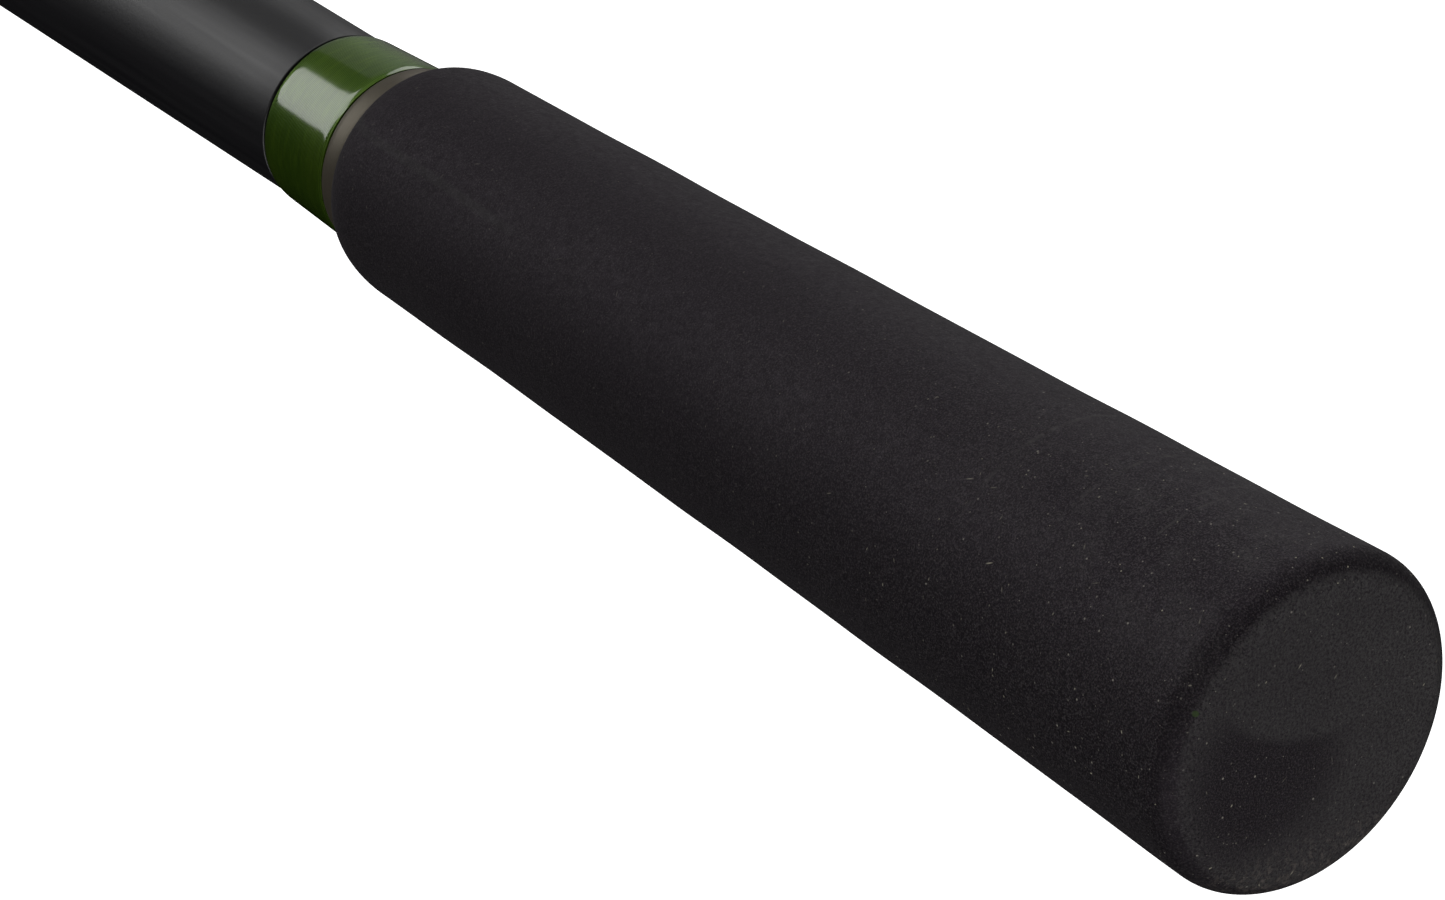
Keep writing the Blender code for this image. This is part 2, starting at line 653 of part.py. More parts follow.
def make_guide(name, station, size, drop, feet, parent):
    """A guide: frame of collar, legs and feet, a ceramic ring, and the thread on each foot."""
    segments = 24 if size > 14.0 else 16
    inner = size / 2 + GAP
    outer = inner + COLLAR_WALL
    half = COLLAR_WIDTH / 2
    outline = [(station - half, inner), (station - half, outer), (station + half, outer), (station + half, inner)]
    frame = turned(name + "_frame", outline, "metal", parent, segments=segments, centre=(0.0, -drop))
    make_guide_ring(name + "_ring", station, size, drop, parent, segments)
    foot_length = FOOT_LENGTH_BASE + FOOT_LENGTH_SHARE * size
    lean = GUIDE_LEAN_BASE + GUIDE_LEAN_SHARE * (drop - outer)
    along, aside, below = LEG_SEAT
    directions = (-1, 1) if feet == 2 else (1,)
    for direction in directions:
        place = "rear" if direction < 0 else "front"
        heel = station + direction * lean
        toe = heel + direction * foot_length
        base_radius = blank_radius(min(heel, toe) - 1.0)
        surface = base_radius + GAP
        foot = make_foot(name + "_" + place + "_foot_form", heel - direction * FOOT_BURY, toe, surface)
        combine(frame, "UNION", foot)
        two_legs = direction < 0 or feet == 1
        spread = math.radians(LEG_SPREAD) if two_legs else 0.0
        for side in ((-1, 1) if two_legs else (0,)):
            start = (station, side * outer * math.sin(spread), -drop + outer * math.cos(spread))
            end = (heel + direction * along, side * aside, -surface - FOOT_THICKNESS / 2 - below)
            label = "%s_%s_leg_form_%d" % (name, place, side)
            combine(frame, "UNION", bar(label, start, end, LEG_WIDTH, LEG_THICKNESS))
        span = sorted((heel + direction * FOOT_WINDING_START, toe + direction * FOOT_WINDING_LAP))
        title = name + "_winding" if feet == 1 else name + "_" + place + "_winding"
        make_foot_winding(title, span, blank_radius(span[0]), surface + FOOT_THICKNESS, FOOT_WIDTH / 2, parent)
    bore = rod_bar(name + "_bore_cut", station - 4.0, station + 4.0, inner, segments, centre=(0.0, -drop))
    combine(frame, "DIFFERENCE", bore)
    return frame


def make_tip_top(parent):
    """Tube that caps the blank, with a ring held in front of it."""
    outline = [(TIP_BLANK_END + 0.5, 0.0), (TIP_BLANK_END + 0.5, TIP_BORE_RADIUS), (TIP_TUBE_START, TIP_BORE_RADIUS)]
    outline += [(TIP_TUBE_START, TIP_TUBE_RADIUS), (TIP_TUBE_END - TIP_TUBE_CROWN, TIP_TUBE_RADIUS)]
    outline += [(TIP_TUBE_END, TIP_TUBE_RADIUS - TIP_TUBE_CROWN), (TIP_TUBE_END, 0.0)]
    frame = turned("tip_top_frame", outline, "metal", parent, segments=16, closed=False)
    half = COLLAR_WIDTH / 2
    station = ROD_LENGTH - half - RING_OVERHANG
    inner = TIP_RING_SIZE / 2 + GAP
    outer = inner + COLLAR_WALL
    outline = [(station - half, inner), (station - half, outer), (station + half, outer), (station + half, inner)]
    collar = turned("tip_collar_form", outline, "metal", segments=16, centre=(0.0, -TIP_RING_DROP))
    combine(frame, "UNION", collar)
    neck_end = (station, 0.0, -TIP_RING_DROP + outer - 0.3)
    combine(frame, "UNION", bar("tip_neck_form", (TIP_TUBE_END - 2.5, 0.0, -1.0), neck_end, *TIP_NECK_SECTION))
    for side in (-1, 1):
        spread = math.radians(TIP_STAY_SPREAD)
        end = (station, side * outer * math.sin(spread), -TIP_RING_DROP + outer * math.cos(spread))
        start = (TIP_TUBE_START + 6.0, side * 1.1, -1.5)
        combine(frame, "UNION", bar("tip_stay_form_%d" % side, start, end, *TIP_STAY_SECTION))
    bore = rod_bar("tip_ring_bore_cut", station - 3.0, station + 3.0, inner, 16, centre=(0.0, -TIP_RING_DROP))
    combine(frame, "DIFFERENCE", bore)
    combine(frame, "DIFFERENCE", rod_bar("tip_bore_cut", TIP_TUBE_START - 2.0, TIP_BLANK_END + 0.5,
                                         TIP_BORE_RADIUS, 16))
    make_guide_ring("tip_top_ring", station, TIP_RING_SIZE, TIP_RING_DROP, parent, 16)
    winding_radius = blank_radius(TIP_WINDING_START) + GAP + WINDING_WALL
    make_sleeve("tip_top_winding", TIP_WINDING_START, TIP_TUBE_START - GAP, (winding_radius,) * 2,
                "winding", parent, segments=16)
    return frame


def make_hook_keeper(root, ring_body):
    """Arched strap under two windings, with a loose ring through the arch."""
    surface = keeper_surface()
    inner_side = ((-KEEPER_FOOT_REACH, 0.0), (-5.5, 0.0), (-3.0, KEEPER_ARCH_HEIGHT),
                  (3.0, KEEPER_ARCH_HEIGHT), (5.5, 0.0), (KEEPER_FOOT_REACH, 0.0))
    crown = KEEPER_ARCH_HEIGHT + KEEPER_STRAP
    outer_side = ((KEEPER_FOOT_REACH, KEEPER_TOE), (5.9, KEEPER_STRAP), (3.3, crown),
                  (-3.3, crown), (-5.9, KEEPER_STRAP), (-KEEPER_FOOT_REACH, KEEPER_TOE))
    bm = bmesh.new()
    corners = [bm.verts.new(((KEEPER_STATION + x) * MM, -KEEPER_HALF_WIDTH * MM, -(surface + depth) * MM))
               for x, depth in inner_side + outer_side]
    side = bm.faces.new(corners)
    pushed = bmesh.ops.extrude_face_region(bm, geom=[side])
    moved = [item for item in pushed["geom"] if isinstance(item, bmesh.types.BMVert)]
    bmesh.ops.translate(bm, verts=moved, vec=(0.0, 2 * KEEPER_HALF_WIDTH * MM, 0.0))
    add_object("hook_keeper_bracket", bm, "metal", root)
    base = surface - GAP
    for title, ends in (("keeper_rear_winding", (-KEEPER_FOOT_REACH - KEEPER_LAP, -6.4)),
                        ("keeper_front_winding", (6.4, KEEPER_FOOT_REACH + KEEPER_LAP))):
        span = [KEEPER_STATION + end for end in ends]
        make_foot_winding(title, span, base, surface + KEEPER_STRAP, KEEPER_HALF_WIDTH, root)
    pivot_depth = keeper_pivot_depth()
    bm = bmesh.new()
    section = bmesh.ops.create_circle(bm, segments=6, radius=KEEPER_WIRE_RADIUS * MM)["verts"]
    bmesh.ops.translate(bm, verts=section, vec=(0.0, KEEPER_RING_RADIUS * MM, 0.0))
    for vert in section:
        vert.co = Vector((vert.co.x, vert.co.y, 0.0))
    edges = list(bm.edges)
    bmesh.ops.spin(bm, geom=section + edges, cent=(0, 0, 0), axis=(1, 0, 0), dvec=(0, 0, 0),
                   angle=2 * math.pi, steps=20, use_merge=True)
    centre = Vector((KEEPER_STATION, 0.0, -pivot_depth - KEEPER_RING_RADIUS)) * MM
    bmesh.ops.translate(bm, verts=bm.verts, vec=centre)
    return add_object("hook_keeper_ring", bm, "metal", ring_body)


def keeper_surface():
    """Depth of the strap's feet, clear of the blank's widest radius under them."""
    return blank_radius(KEEPER_STATION - KEEPER_FOOT_REACH - 3.0) + GAP


def keeper_pivot_depth():
    """Depth of the line that the keeper ring swings about."""
    return keeper_surface() + KEEPER_ARCH_HEIGHT - GAP - KEEPER_WIRE_RADIUS


def make_ferrule(parent):
    """Socket glued to the tip section, which the butt section's end slides into."""
    bore = blank_radius(FERRULE_START) + GAP
    outer = bore + FERRULE_WALL
    edge = FERRULE_EDGE
    run, fall = FERRULE_TAPER
    outline = [(FERRULE_START, bore), (FERRULE_START, outer - edge), (FERRULE_START + edge, outer)]
    outline += [(FERRULE_END - run, outer), (FERRULE_END, outer - fall), (FERRULE_END, bore)]
    turned("ferrule_sleeve", outline, "blank", parent, segments=20)
    start, end = FERRULE_WINDING
    inner = outer + GAP
    crown = inner + WINDING_WALL
    edge = WINDING_EDGE
    outline = [(start, inner), (start, crown - edge), (start + edge, crown)]
    outline += [(end - edge, crown), (end, crown - edge), (end, inner)]
    turned("ferrule_winding", outline, "winding", parent, segments=20)


# ---- Assembly --------------------------------------------------------------

def build():
    clear_scene()
    root = add_empty("butt_section", (0.0, 0.0, 0.0))
    hood_body = add_empty("hood_slide_axis", (HOOD_START, 0.0, 0.0), root)
    nut_body = add_empty("nut_turn_axis", (NUT_BODY_START, 0.0, 0.0), hood_body)
    keeper_body = add_empty("keeper_swing_axis", (KEEPER_STATION, 0.0, -keeper_pivot_depth()), root)
    tip_body = add_empty("ferrule_pull_axis", (FERRULE_START, 0.0, 0.0), root)
    make_blank("butt_blank", BLANK_START, BUTT_BLANK_END, root)
    make_handle(root)
    make_reel_seat(root)
    rear_arbor = REAR_GRIP_END + ARBOR_INSET
    front_arbor = SEAT_END - ARBOR_INSET - ARBOR_LENGTH
    make_arbor("rear_seat_arbor", rear_arbor, rear_arbor + ARBOR_LENGTH, root)
    make_arbor("front_seat_arbor", front_arbor, front_arbor + ARBOR_LENGTH, root)
    make_sliding_hood(hood_body)
    make_retaining_ring(hood_body)
    make_locking_nut(nut_body)
    make_nut_trim(nut_body)
    make_hook_keeper(root, keeper_body)
    make_ferrule(tip_body)
    make_blank("tip_blank", TIP_BLANK_START, TIP_BLANK_END, tip_body)
    for name, station, size, drop, feet in GUIDES:
        section = root if station < BUTT_BLANK_END else tip_body
        make_guide(name, station, size, drop, feet, section)
    make_tip_top(tip_body)


build()
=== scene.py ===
"""Looks of the spinning rod: fine meshes, finishes, studio light and camera.

Lengths are in metres in the CAD model's frame: X runs from the centre of the butt face to
the tip, Z is up, and the guides hang below the blank.
"""
import json
import math

import bpy
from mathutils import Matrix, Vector


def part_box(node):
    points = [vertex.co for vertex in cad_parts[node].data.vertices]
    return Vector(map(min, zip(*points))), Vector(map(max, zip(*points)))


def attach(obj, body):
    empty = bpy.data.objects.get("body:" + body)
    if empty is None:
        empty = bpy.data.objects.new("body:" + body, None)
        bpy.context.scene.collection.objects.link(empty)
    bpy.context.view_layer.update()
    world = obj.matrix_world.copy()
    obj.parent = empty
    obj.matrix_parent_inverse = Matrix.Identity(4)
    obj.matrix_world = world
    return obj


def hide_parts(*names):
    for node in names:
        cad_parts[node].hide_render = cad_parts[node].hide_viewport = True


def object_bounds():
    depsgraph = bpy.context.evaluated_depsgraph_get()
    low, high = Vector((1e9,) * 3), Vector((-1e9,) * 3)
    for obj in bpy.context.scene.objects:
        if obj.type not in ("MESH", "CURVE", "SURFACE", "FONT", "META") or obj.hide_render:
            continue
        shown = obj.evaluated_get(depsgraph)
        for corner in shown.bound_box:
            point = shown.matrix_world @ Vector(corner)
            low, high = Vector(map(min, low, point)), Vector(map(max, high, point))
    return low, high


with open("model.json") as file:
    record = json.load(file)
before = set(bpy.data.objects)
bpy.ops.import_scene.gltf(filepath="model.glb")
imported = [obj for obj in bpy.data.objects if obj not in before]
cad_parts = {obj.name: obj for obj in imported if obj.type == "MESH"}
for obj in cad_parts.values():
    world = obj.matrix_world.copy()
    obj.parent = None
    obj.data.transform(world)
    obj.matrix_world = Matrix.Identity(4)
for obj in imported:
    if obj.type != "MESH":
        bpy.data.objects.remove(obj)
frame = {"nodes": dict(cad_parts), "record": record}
CAD_BOUNDS = [list(corner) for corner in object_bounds()]
RECORD = frame["record"]
MM = 0.001

# Camera: seen from behind and to the left of the butt, looking down on it.
CAMERA_PLACE = (-0.31848, 0.29797, 0.26447)
CAMERA_PITCH = 61.255
CAMERA_HEADING = 233.347
CAMERA_LENS = 153.0

# Studio: boxes given by the direction they shine from, seen from the butt.
STUDIO_CENTRE = (0.08, 0.0, 0.0)
STUDIO_REACH = 5.0
FLOOR_DROP = 0.35


# ---- Node helpers ----------------------------------------------------------

class Finish:
    """A material under construction: a Principled shader and the nodes that feed it."""

    def __init__(self, name):
        self.material = bpy.data.materials.new(name)
        self.material.use_nodes = True
        self.tree = self.material.node_tree
        self.shader = self.tree.nodes["Principled BSDF"]
        self.place = self.node("ShaderNodeTexCoord").outputs["Object"]

    def node(self, kind, **settings):
        made = self.tree.nodes.new(kind)
        for key, value in settings.items():
            setattr(made, key, value)
        return made

    def feed(self, socket, value):
        if isinstance(value, bpy.types.NodeSocket):
            self.tree.links.new(value, socket)
        elif value is not None:
            socket.default_value = value

    def constant(self, **values):
        """Set shader sockets that are the same all over the surface."""
        for key, value in values.items():
            self.shader.inputs[key.replace("_", " ")].default_value = value

    def colour(self, value):
        self.feed(self.shader.inputs["Base Color"], value)

    def roughness(self, value):
        self.feed(self.shader.inputs["Roughness"], value)

    def math(self, operation, first, second=None, third=None):
        made = self.node("ShaderNodeMath", operation=operation)
        for socket, value in zip(made.inputs, (first, second, third)):
            self.feed(socket, value)
        return made.outputs[0]

    def stretched(self, scale, turn=(0.0, 0.0, 0.0)):
        made = self.node("ShaderNodeMapping")
        self.feed(made.inputs["Vector"], self.place)
        made.inputs["Rotation"].default_value = turn
        made.inputs["Scale"].default_value = scale
        return made.outputs[0]

    def noise(self, scale, detail=2.0, roughness=0.5, vector=None):
        made = self.node("ShaderNodeTexNoise")
        self.feed(made.inputs["Vector"], vector or self.place)
        self.feed(made.inputs["Scale"], scale)
        self.feed(made.inputs["Detail"], detail)
        self.feed(made.inputs["Roughness"], roughness)
        return made.outputs["Fac"]

    def reach_from(self, across, up, centre):
        """Distance from a line along X through centre, measured in the YZ plane."""
        side = self.math("SUBTRACT", across, centre[0])
        rise = self.math("SUBTRACT", up, centre[1])
        squares = self.math("ADD", self.math("MULTIPLY", side, side), self.math("MULTIPLY", rise, rise))
        return self.math("SQRT", squares)

    def band(self, value, middle, half):
        """1 where value is at middle, falling to 0 at half away."""
        off = self.math("ABSOLUTE", self.math("SUBTRACT", value, middle))
        return self.remap(off, half, half * 0.35, 0.0, 1.0, True)

    def cells(self, scale, vector=None, feature="F1"):
        made = self.node("ShaderNodeTexVoronoi", feature=feature)
        self.feed(made.inputs["Vector"], vector or self.place)
        self.feed(made.inputs["Scale"], scale)
        return made

    def remap(self, value, low, high, out_low=0.0, out_high=1.0, smooth=False):
        made = self.node("ShaderNodeMapRange")
        if smooth:
            made.interpolation_type = "SMOOTHSTEP"
        for key, given in (("Value", value), ("From Min", low), ("From Max", high),
                           ("To Min", out_low), ("To Max", out_high)):
            self.feed(made.inputs[key], given)
        return made.outputs["Result"]

    def mix(self, amount, first, second, blend="MIX"):
        made = self.node("ShaderNodeMix", data_type="RGBA", blend_type=blend)
        self.feed(made.inputs[0], amount)
        self.feed(made.inputs[6], first)
        self.feed(made.inputs[7], second)
        return made.outputs[2]

    def bump(self, height, distance, strength=1.0, before=None):
        """Bump of a height from 0 to 1, distance metres deep."""
        made = self.node("ShaderNodeBump")
        made.inputs["Strength"].default_value = strength
        made.inputs["Distance"].default_value = distance
        self.feed(made.inputs["Height"], height)
        if before is not None:
            self.feed(made.inputs["Normal"], before)
        return made.outputs[0]

    def normal(self, value, coat=False):
        self.feed(self.shader.inputs["Normal"], value)
        if coat:
            self.feed(self.shader.inputs["Coat Normal"], value)


def shade(red, green, blue):
    return (red, green, blue, 1.0)


# ---- Finishes --------------------------------------------------------------

def lint(finish, scale, chance, width, length=1.0, lean=0.0, swing=0.0):
    """Sparse specks, or fibres where length is above 1: up to 1 on a speck and 0 elsewhere."""
    spin = finish.node("ShaderNodeMapping", vector_type="TEXTURE")
    finish.feed(spin.inputs["Vector"], finish.place)
    spin.inputs["Rotation"].default_value = (0.0, math.radians(lean), math.radians(swing))
    spin.inputs["Scale"].default_value = (length, 1.0, 1.0)
    spots = finish.cells(scale, spin.outputs[0])
    luck = finish.node("ShaderNodeSeparateColor")
    finish.feed(luck.inputs[0], spots.outputs["Color"])
    near = finish.remap(spots.outputs["Distance"], width, width * 0.35)
    picked = finish.math("LESS_THAN", luck.outputs[0], chance)
    level = finish.remap(luck.outputs[1], 0.0, 1.0, 0.2, 1.0)
    return finish.math("MULTIPLY", finish.math("MULTIPLY", near, picked), level)


# Length against width of a fibre, and the way it lies: two on the butt face, three along the side.
FIBRES = ((6.0, 35.0, 90.0), (5.0, 110.0, 90.0), (6.0, -42.0, -48.0), (7.0, 22.0, 20.0), (5.0, -49.0, -105.0))


def lay_foam(foam, grain_amount, lint_amount, clean_low, clean_high):
    """Closed-cell foam, buffed: fine grain and soft blotches. Returns its colour and its bump."""
    blotch = foam.noise(55.0, 3.0, 0.6)
    grain = foam.noise(5600.0, 2.0, 0.8)
    coarse = foam.noise(1300.0, 3.0, 0.65)
    tint = foam.node("ShaderNodeTexNoise")
    foam.feed(tint.inputs["Vector"], foam.place)
    tint.inputs["Scale"].default_value = 6400.0
    base = foam.mix(foam.remap(blotch, 0.35, 0.65), clean_low, clean_high)
    tinted = foam.mix(1.0, base, tint.outputs["Color"], "OVERLAY")
    base = foam.mix(foam.math("MULTIPLY", grain_amount, 0.6), base, tinted)
    light = foam.math("MULTIPLY", foam.remap(grain, 0.50, 0.66, 0.0, 1.0), grain_amount)
    base = foam.mix(foam.math("MULTIPLY", light, 0.60), base, shade(0.096, 0.087, 0.090))
    dark = foam.math("MULTIPLY", foam.remap(grain, 0.50, 0.36, 0.0, 1.0), grain_amount)
    base = foam.mix(dark, base, shade(0.001, 0.001, 0.0015))
    specks = foam.math("MAXIMUM", lint(foam, 900.0, 0.40, 0.12), lint(foam, 1700.0, 0.22, 0.12))
    base = foam.mix(foam.math("MULTIPLY", specks, lint_amount), base, shade(0.62, 0.58, 0.50))
    fibres = 0.0
    for length, lean, swing in FIBRES:
        fibres = foam.math("MAXIMUM", fibres, lint(foam, 640.0, 0.75, 0.055, length, lean, swing))
    base = foam.mix(foam.math("MULTIPLY", fibres, lint_amount), base, shade(0.85, 0.80, 0.62))
    foam.roughness(foam.remap(coarse, 0.3, 0.7, 0.60, 0.76))
    foam.constant(Specular_IOR_Level=0.28, Sheen_Weight=0.04, Sheen_Roughness=0.4)
    foam.constant(Specular_Tint=(1.0, 0.84, 1.0, 1.0))
    arcs = foam.noise(1.0, 3.0, 0.6, foam.stretched((420.0, 30.0, 30.0)))
    pores = foam.cells(2300.0).outputs["Distance"]
    first = foam.bump(arcs, 0.00012, 0.3)
    second = foam.bump(pores, 0.00006, 0.4, first)
    return base, foam.bump(grain, 0.00004, 0.5, second)


def make_foam():
    foam = Finish("foam_finish")
    base, bumps = lay_foam(foam, 0.6, 0.12, shade(0.0086, 0.0070, 0.0088), shade(0.0122, 0.0104, 0.0120))
    foam.colour(base)
    foam.normal(bumps)
    return foam.material


def make_grip_foam():
    """Foam of the butt grip: dusty face with a patch of painted shade, painted shade round its rounded rim,
    and painted light on its upper side near the butt, in rings and in one long line near the front.
    """
    foam = Finish("grip_foam_finish")
    along = foam.node("ShaderNodeSeparateXYZ")
    foam.feed(along.inputs[0], foam.place)
    x, y, z = along.outputs
    grain_amount = foam.remap(x, 0.015, 0.075, 1.0, 0.42)
    lint_amount = foam.remap(x, 0.002, 0.070, 0.75, 0.10)
    base, bumps = lay_foam(foam, grain_amount, lint_amount,
                           shade(0.0088, 0.0070, 0.0090), shade(0.0124, 0.0104, 0.0122))

    # Dust on the closed end, left off a patch just under its middle so that the bare dark patch is painted
    # shade.
    on_face = foam.remap(x, 0.0007, 0.0002, 0.0, 1.0, True)
    under_arc = foam.remap(foam.reach_from(y, z, (-0.0017, 0.0150)), 0.0148, 0.0160, 0.0, 1.0, True)
    patch = foam.remap(foam.reach_from(y, z, (0.0052, -0.0018)), 0.0105, 0.0048, 0.0, 1.0, True)
    # painted shade: this patch under the arc is kept bare and dark
    painted_shade = foam.math("MULTIPLY", under_arc, patch)
    motes = foam.noise(3600.0, 3.0, 0.8)
    drift = foam.noise(260.0, 3.0, 0.6)
    dust_and_painted_shading = foam.math("MULTIPLY", on_face, foam.math("SUBTRACT", 1.0, foam.math("MULTIPLY", painted_shade, 0.96)))
    dust_and_painted_shading = foam.math("MULTIPLY", dust_and_painted_shading, foam.remap(drift, 0.25, 0.75, 0.62, 1.0))
    # painted light: heavier dusting towards -Y makes that side of the face lighter
    dust_and_painted_shading = foam.math("MULTIPLY", dust_and_painted_shading, foam.remap(y, 0.012, -0.012, 0.72, 1.05))
    dust_and_painted_shading = foam.math("MULTIPLY", dust_and_painted_shading, foam.remap(motes, 0.41, 0.59, 0.10, 1.0))
    base = foam.mix(dust_and_painted_shading, base, shade(0.078, 0.077, 0.074))
    litter = foam.remap(z, -0.0085, -0.0125, 0.0, 1.0, True)
    litter = foam.math("MULTIPLY", litter, foam.remap(x, 0.003, 0.001))
    litter = foam.math("MULTIPLY", litter, foam.remap(foam.noise(1500.0, 4.0, 0.8), 0.50, 0.66, 0.0, 0.7))
    base = foam.mix(litter, base, shade(0.15, 0.13, 0.115))
    fleck = foam.remap(foam.reach_from(y, z, (0.0129, 0.0064)), 0.00034, 0.00018, 0.0, 0.8, True)
    fleck = foam.math("MULTIPLY", fleck, foam.remap(x, 0.0025, 0.0020))
    base = foam.mix(fleck, base, shade(0.045, 0.085, 0.020))

    # A thin pale layer on top of the butt's side, partly dust and partly painted light from above, more where
    # a hand leaves it.
    haze_and_painted_top_light = foam.remap(x, 0.045, 0.012, 0.0, 1.0, True)
    haze_and_painted_top_light = foam.math("MULTIPLY", haze_and_painted_top_light, foam.remap(z, 0.006, 0.014, 0.0, 1.0, True))
    haze_and_painted_top_light = foam.math("MULTIPLY", haze_and_painted_top_light, foam.remap(foam.noise(95.0, 4.0, 0.7), 0.42, 0.60, 0.0, 0.5))
    haze_and_painted_top_light = foam.math("MULTIPLY", haze_and_painted_top_light, foam.remap(motes, 0.4, 0.6))
    base = foam.mix(haze_and_painted_top_light, base, shade(0.075, 0.074, 0.070))

    # Painted shade in the crease that runs round the rounded edge, less marked on top where more light falls.
    painted_crease_shade = foam.remap(z, 0.004, 0.012, 0.35, 0.08, True)
    painted_crease_shade = foam.math("MULTIPLY", foam.band(x, 0.0013, 0.0010), painted_crease_shade)
    base = foam.mix(painted_crease_shade, base, shade(0.002, 0.0018, 0.0022))

    # Painted light on the upper side near the butt, in rings that stand in for the shading of slight
    # undulations, and one long painted light line near the front.
    for station, width, first, last in ((0.0160, 0.00022, 0.0120, 0.0150), (0.0142, 0.00020, 0.0125, 0.0152),
                                        (0.0235, 0.00030, 0.0095, 0.0148), (0.0330, 0.00030, 0.0080, 0.0150)):
        painted_light_ring = foam.remap(z, first, last, 0.0, 1.0, True)
        painted_light_ring = foam.math("MULTIPLY", foam.band(x, station, width), painted_light_ring)
        painted_light_ring = foam.math("MULTIPLY", painted_light_ring, foam.remap(foam.noise(700.0, 2.0, 0.6), 0.42, 0.62, 0.0, 0.7))
        base = foam.mix(painted_light_ring, base, shade(0.050, 0.048, 0.045))
    # painted light: a lighter line along the top near the front
    painted_light_line = foam.math("MULTIPLY", foam.band(z, 0.0082, 0.0005), foam.remap(x, 0.098, 0.106, 0.0, 1.0, True))
    painted_light_line = foam.math("MULTIPLY", painted_light_line, foam.remap(y, 0.004, 0.006))
    base = foam.mix(foam.math("MULTIPLY", painted_light_line, 0.28), base, shade(0.034, 0.037, 0.032))
    foam.colour(base)
    foam.normal(bumps)
    return foam.material


def make_sleeve_finish():
    """Black satin tube with a faint pebble and a few long scuffs."""
    sleeve = Finish("sleeve_finish")
    grain = sleeve.noise(2400.0, 3.0, 0.6)
    scuff = sleeve.noise(1.0, 3.0, 0.6, sleeve.stretched((25.0, 900.0, 900.0)))
    sleeve.colour(sleeve.mix(scuff, shade(0.0036, 0.0034, 0.0052), shade(0.0066, 0.0060, 0.0078)))
    sleeve.roughness(sleeve.remap(scuff, 0.3, 0.7, 0.45, 0.53))
    sleeve.constant(Specular_IOR_Level=0.78)
    sleeve.normal(sleeve.bump(grain, 0.00003, 0.35))
    return sleeve.material


def make_winding():
    """Metallic green thread, turn beside turn, under a thick clear coat."""
    winding = Finish("winding_finish")
    turns = winding.node("ShaderNodeTexWave", wave_type="BANDS", bands_direction="X")
    winding.feed(turns.inputs["Vector"], winding.place)
    turns.inputs["Scale"].default_value = 1400.0
    turns.inputs["Distortion"].default_value = 0.6
    turns.inputs["Detail"].default_value = 2.0
    uneven = winding.noise(1.0, 3.0, 0.6, winding.stretched((1700.0, 60.0, 60.0)))
    twist = winding.noise(1.0, 2.0, 0.5, winding.stretched((4000.0, 500.0, 500.0)))
    cloud = winding.noise(130.0, 2.0, 0.5)
    base = winding.mix(uneven, shade(0.038, 0.102, 0.006), shade(0.104, 0.204, 0.014))
    grooves = winding.remap(turns.outputs["Fac"], 0.0, 0.5, 0.45, 0.0)
    base = winding.mix(grooves, base, shade(0.010, 0.034, 0.002))
    base = winding.mix(winding.remap(cloud, 0.4, 0.7, 0.0, 0.35), base, shade(0.12, 0.20, 0.018))
    winding.colour(winding.mix(winding.remap(twist, 0.5, 0.75, 0.0, 0.4), base, shade(0.15, 0.27, 0.02)))
    winding.constant(Roughness=0.4, Metallic=0.65, Coat_Weight=1.0, Coat_Roughness=0.11, Coat_IOR=1.74)
    lumps = winding.noise(220.0, 2.0, 0.5)
    winding.feed(winding.shader.inputs["Coat Normal"], winding.bump(lumps, 0.0001, 0.35))
    winding.feed(winding.shader.inputs["Normal"], winding.bump(turns.outputs["Fac"], 0.00005, 0.6))
    return winding.material


def make_check():
    """Grey-brown moulded ring, semi-gloss."""
    check = Finish("check_finish")
    cloud = check.noise(400.0, 3.0, 0.6)
    turned_marks = check.noise(1.0, 2.0, 0.5, check.stretched((3500.0, 80.0, 80.0)))
    check.colour(check.mix(cloud, shade(0.052, 0.045, 0.034), shade(0.072, 0.062, 0.047)))
    check.roughness(check.remap(turned_marks, 0.3, 0.7, 0.42, 0.54))
    check.constant(Specular_IOR_Level=0.95, Specular_Tint=(1.0, 0.90, 0.70, 1.0))
    check.normal(check.bump(turned_marks, 0.00003, 0.4))
    return check.material


def make_blank_finish():
    """Black fibre blank: lacquered, with the faint spiral that its wrapping tape leaves."""
    blank = Finish("blank_finish")
    tape = blank.node("ShaderNodeTexWave", wave_type="BANDS", bands_direction="X")
    blank.feed(tape.inputs["Vector"], blank.stretched((1.0, 0.6, 0.6)))
    tape.inputs["Scale"].default_value = 90.0
    tape.inputs["Distortion"].default_value = 0.8
    weave = blank.noise(1.0, 3.0, 0.6, blank.stretched((60.0, 1600.0, 1600.0)))
    blank.colour(blank.mix(weave, shade(0.008, 0.008, 0.009), shade(0.020, 0.020, 0.022)))
    blank.roughness(blank.remap(weave, 0.3, 0.7, 0.26, 0.36))
    blank.constant(Coat_Weight=0.9, Coat_Roughness=0.06)
    blank.normal(blank.bump(tape.outputs["Fac"], 0.00005, 0.25), coat=True)
    return blank.material


def make_seat():
    """Filled nylon, satin: fine moulded texture, worn a little smoother in patches."""
    seat = Finish("seat_finish")
    texture = seat.noise(2800.0, 3.0, 0.6)
    wear = seat.noise(90.0, 3.0, 0.6)
    seat.colour(seat.mix(wear, shade(0.014, 0.014, 0.015), shade(0.024, 0.024, 0.026)))
    seat.roughness(seat.remap(wear, 0.3, 0.7, 0.34, 0.5))
    seat.normal(seat.bump(texture, 0.00005, 0.4))
    return seat.material


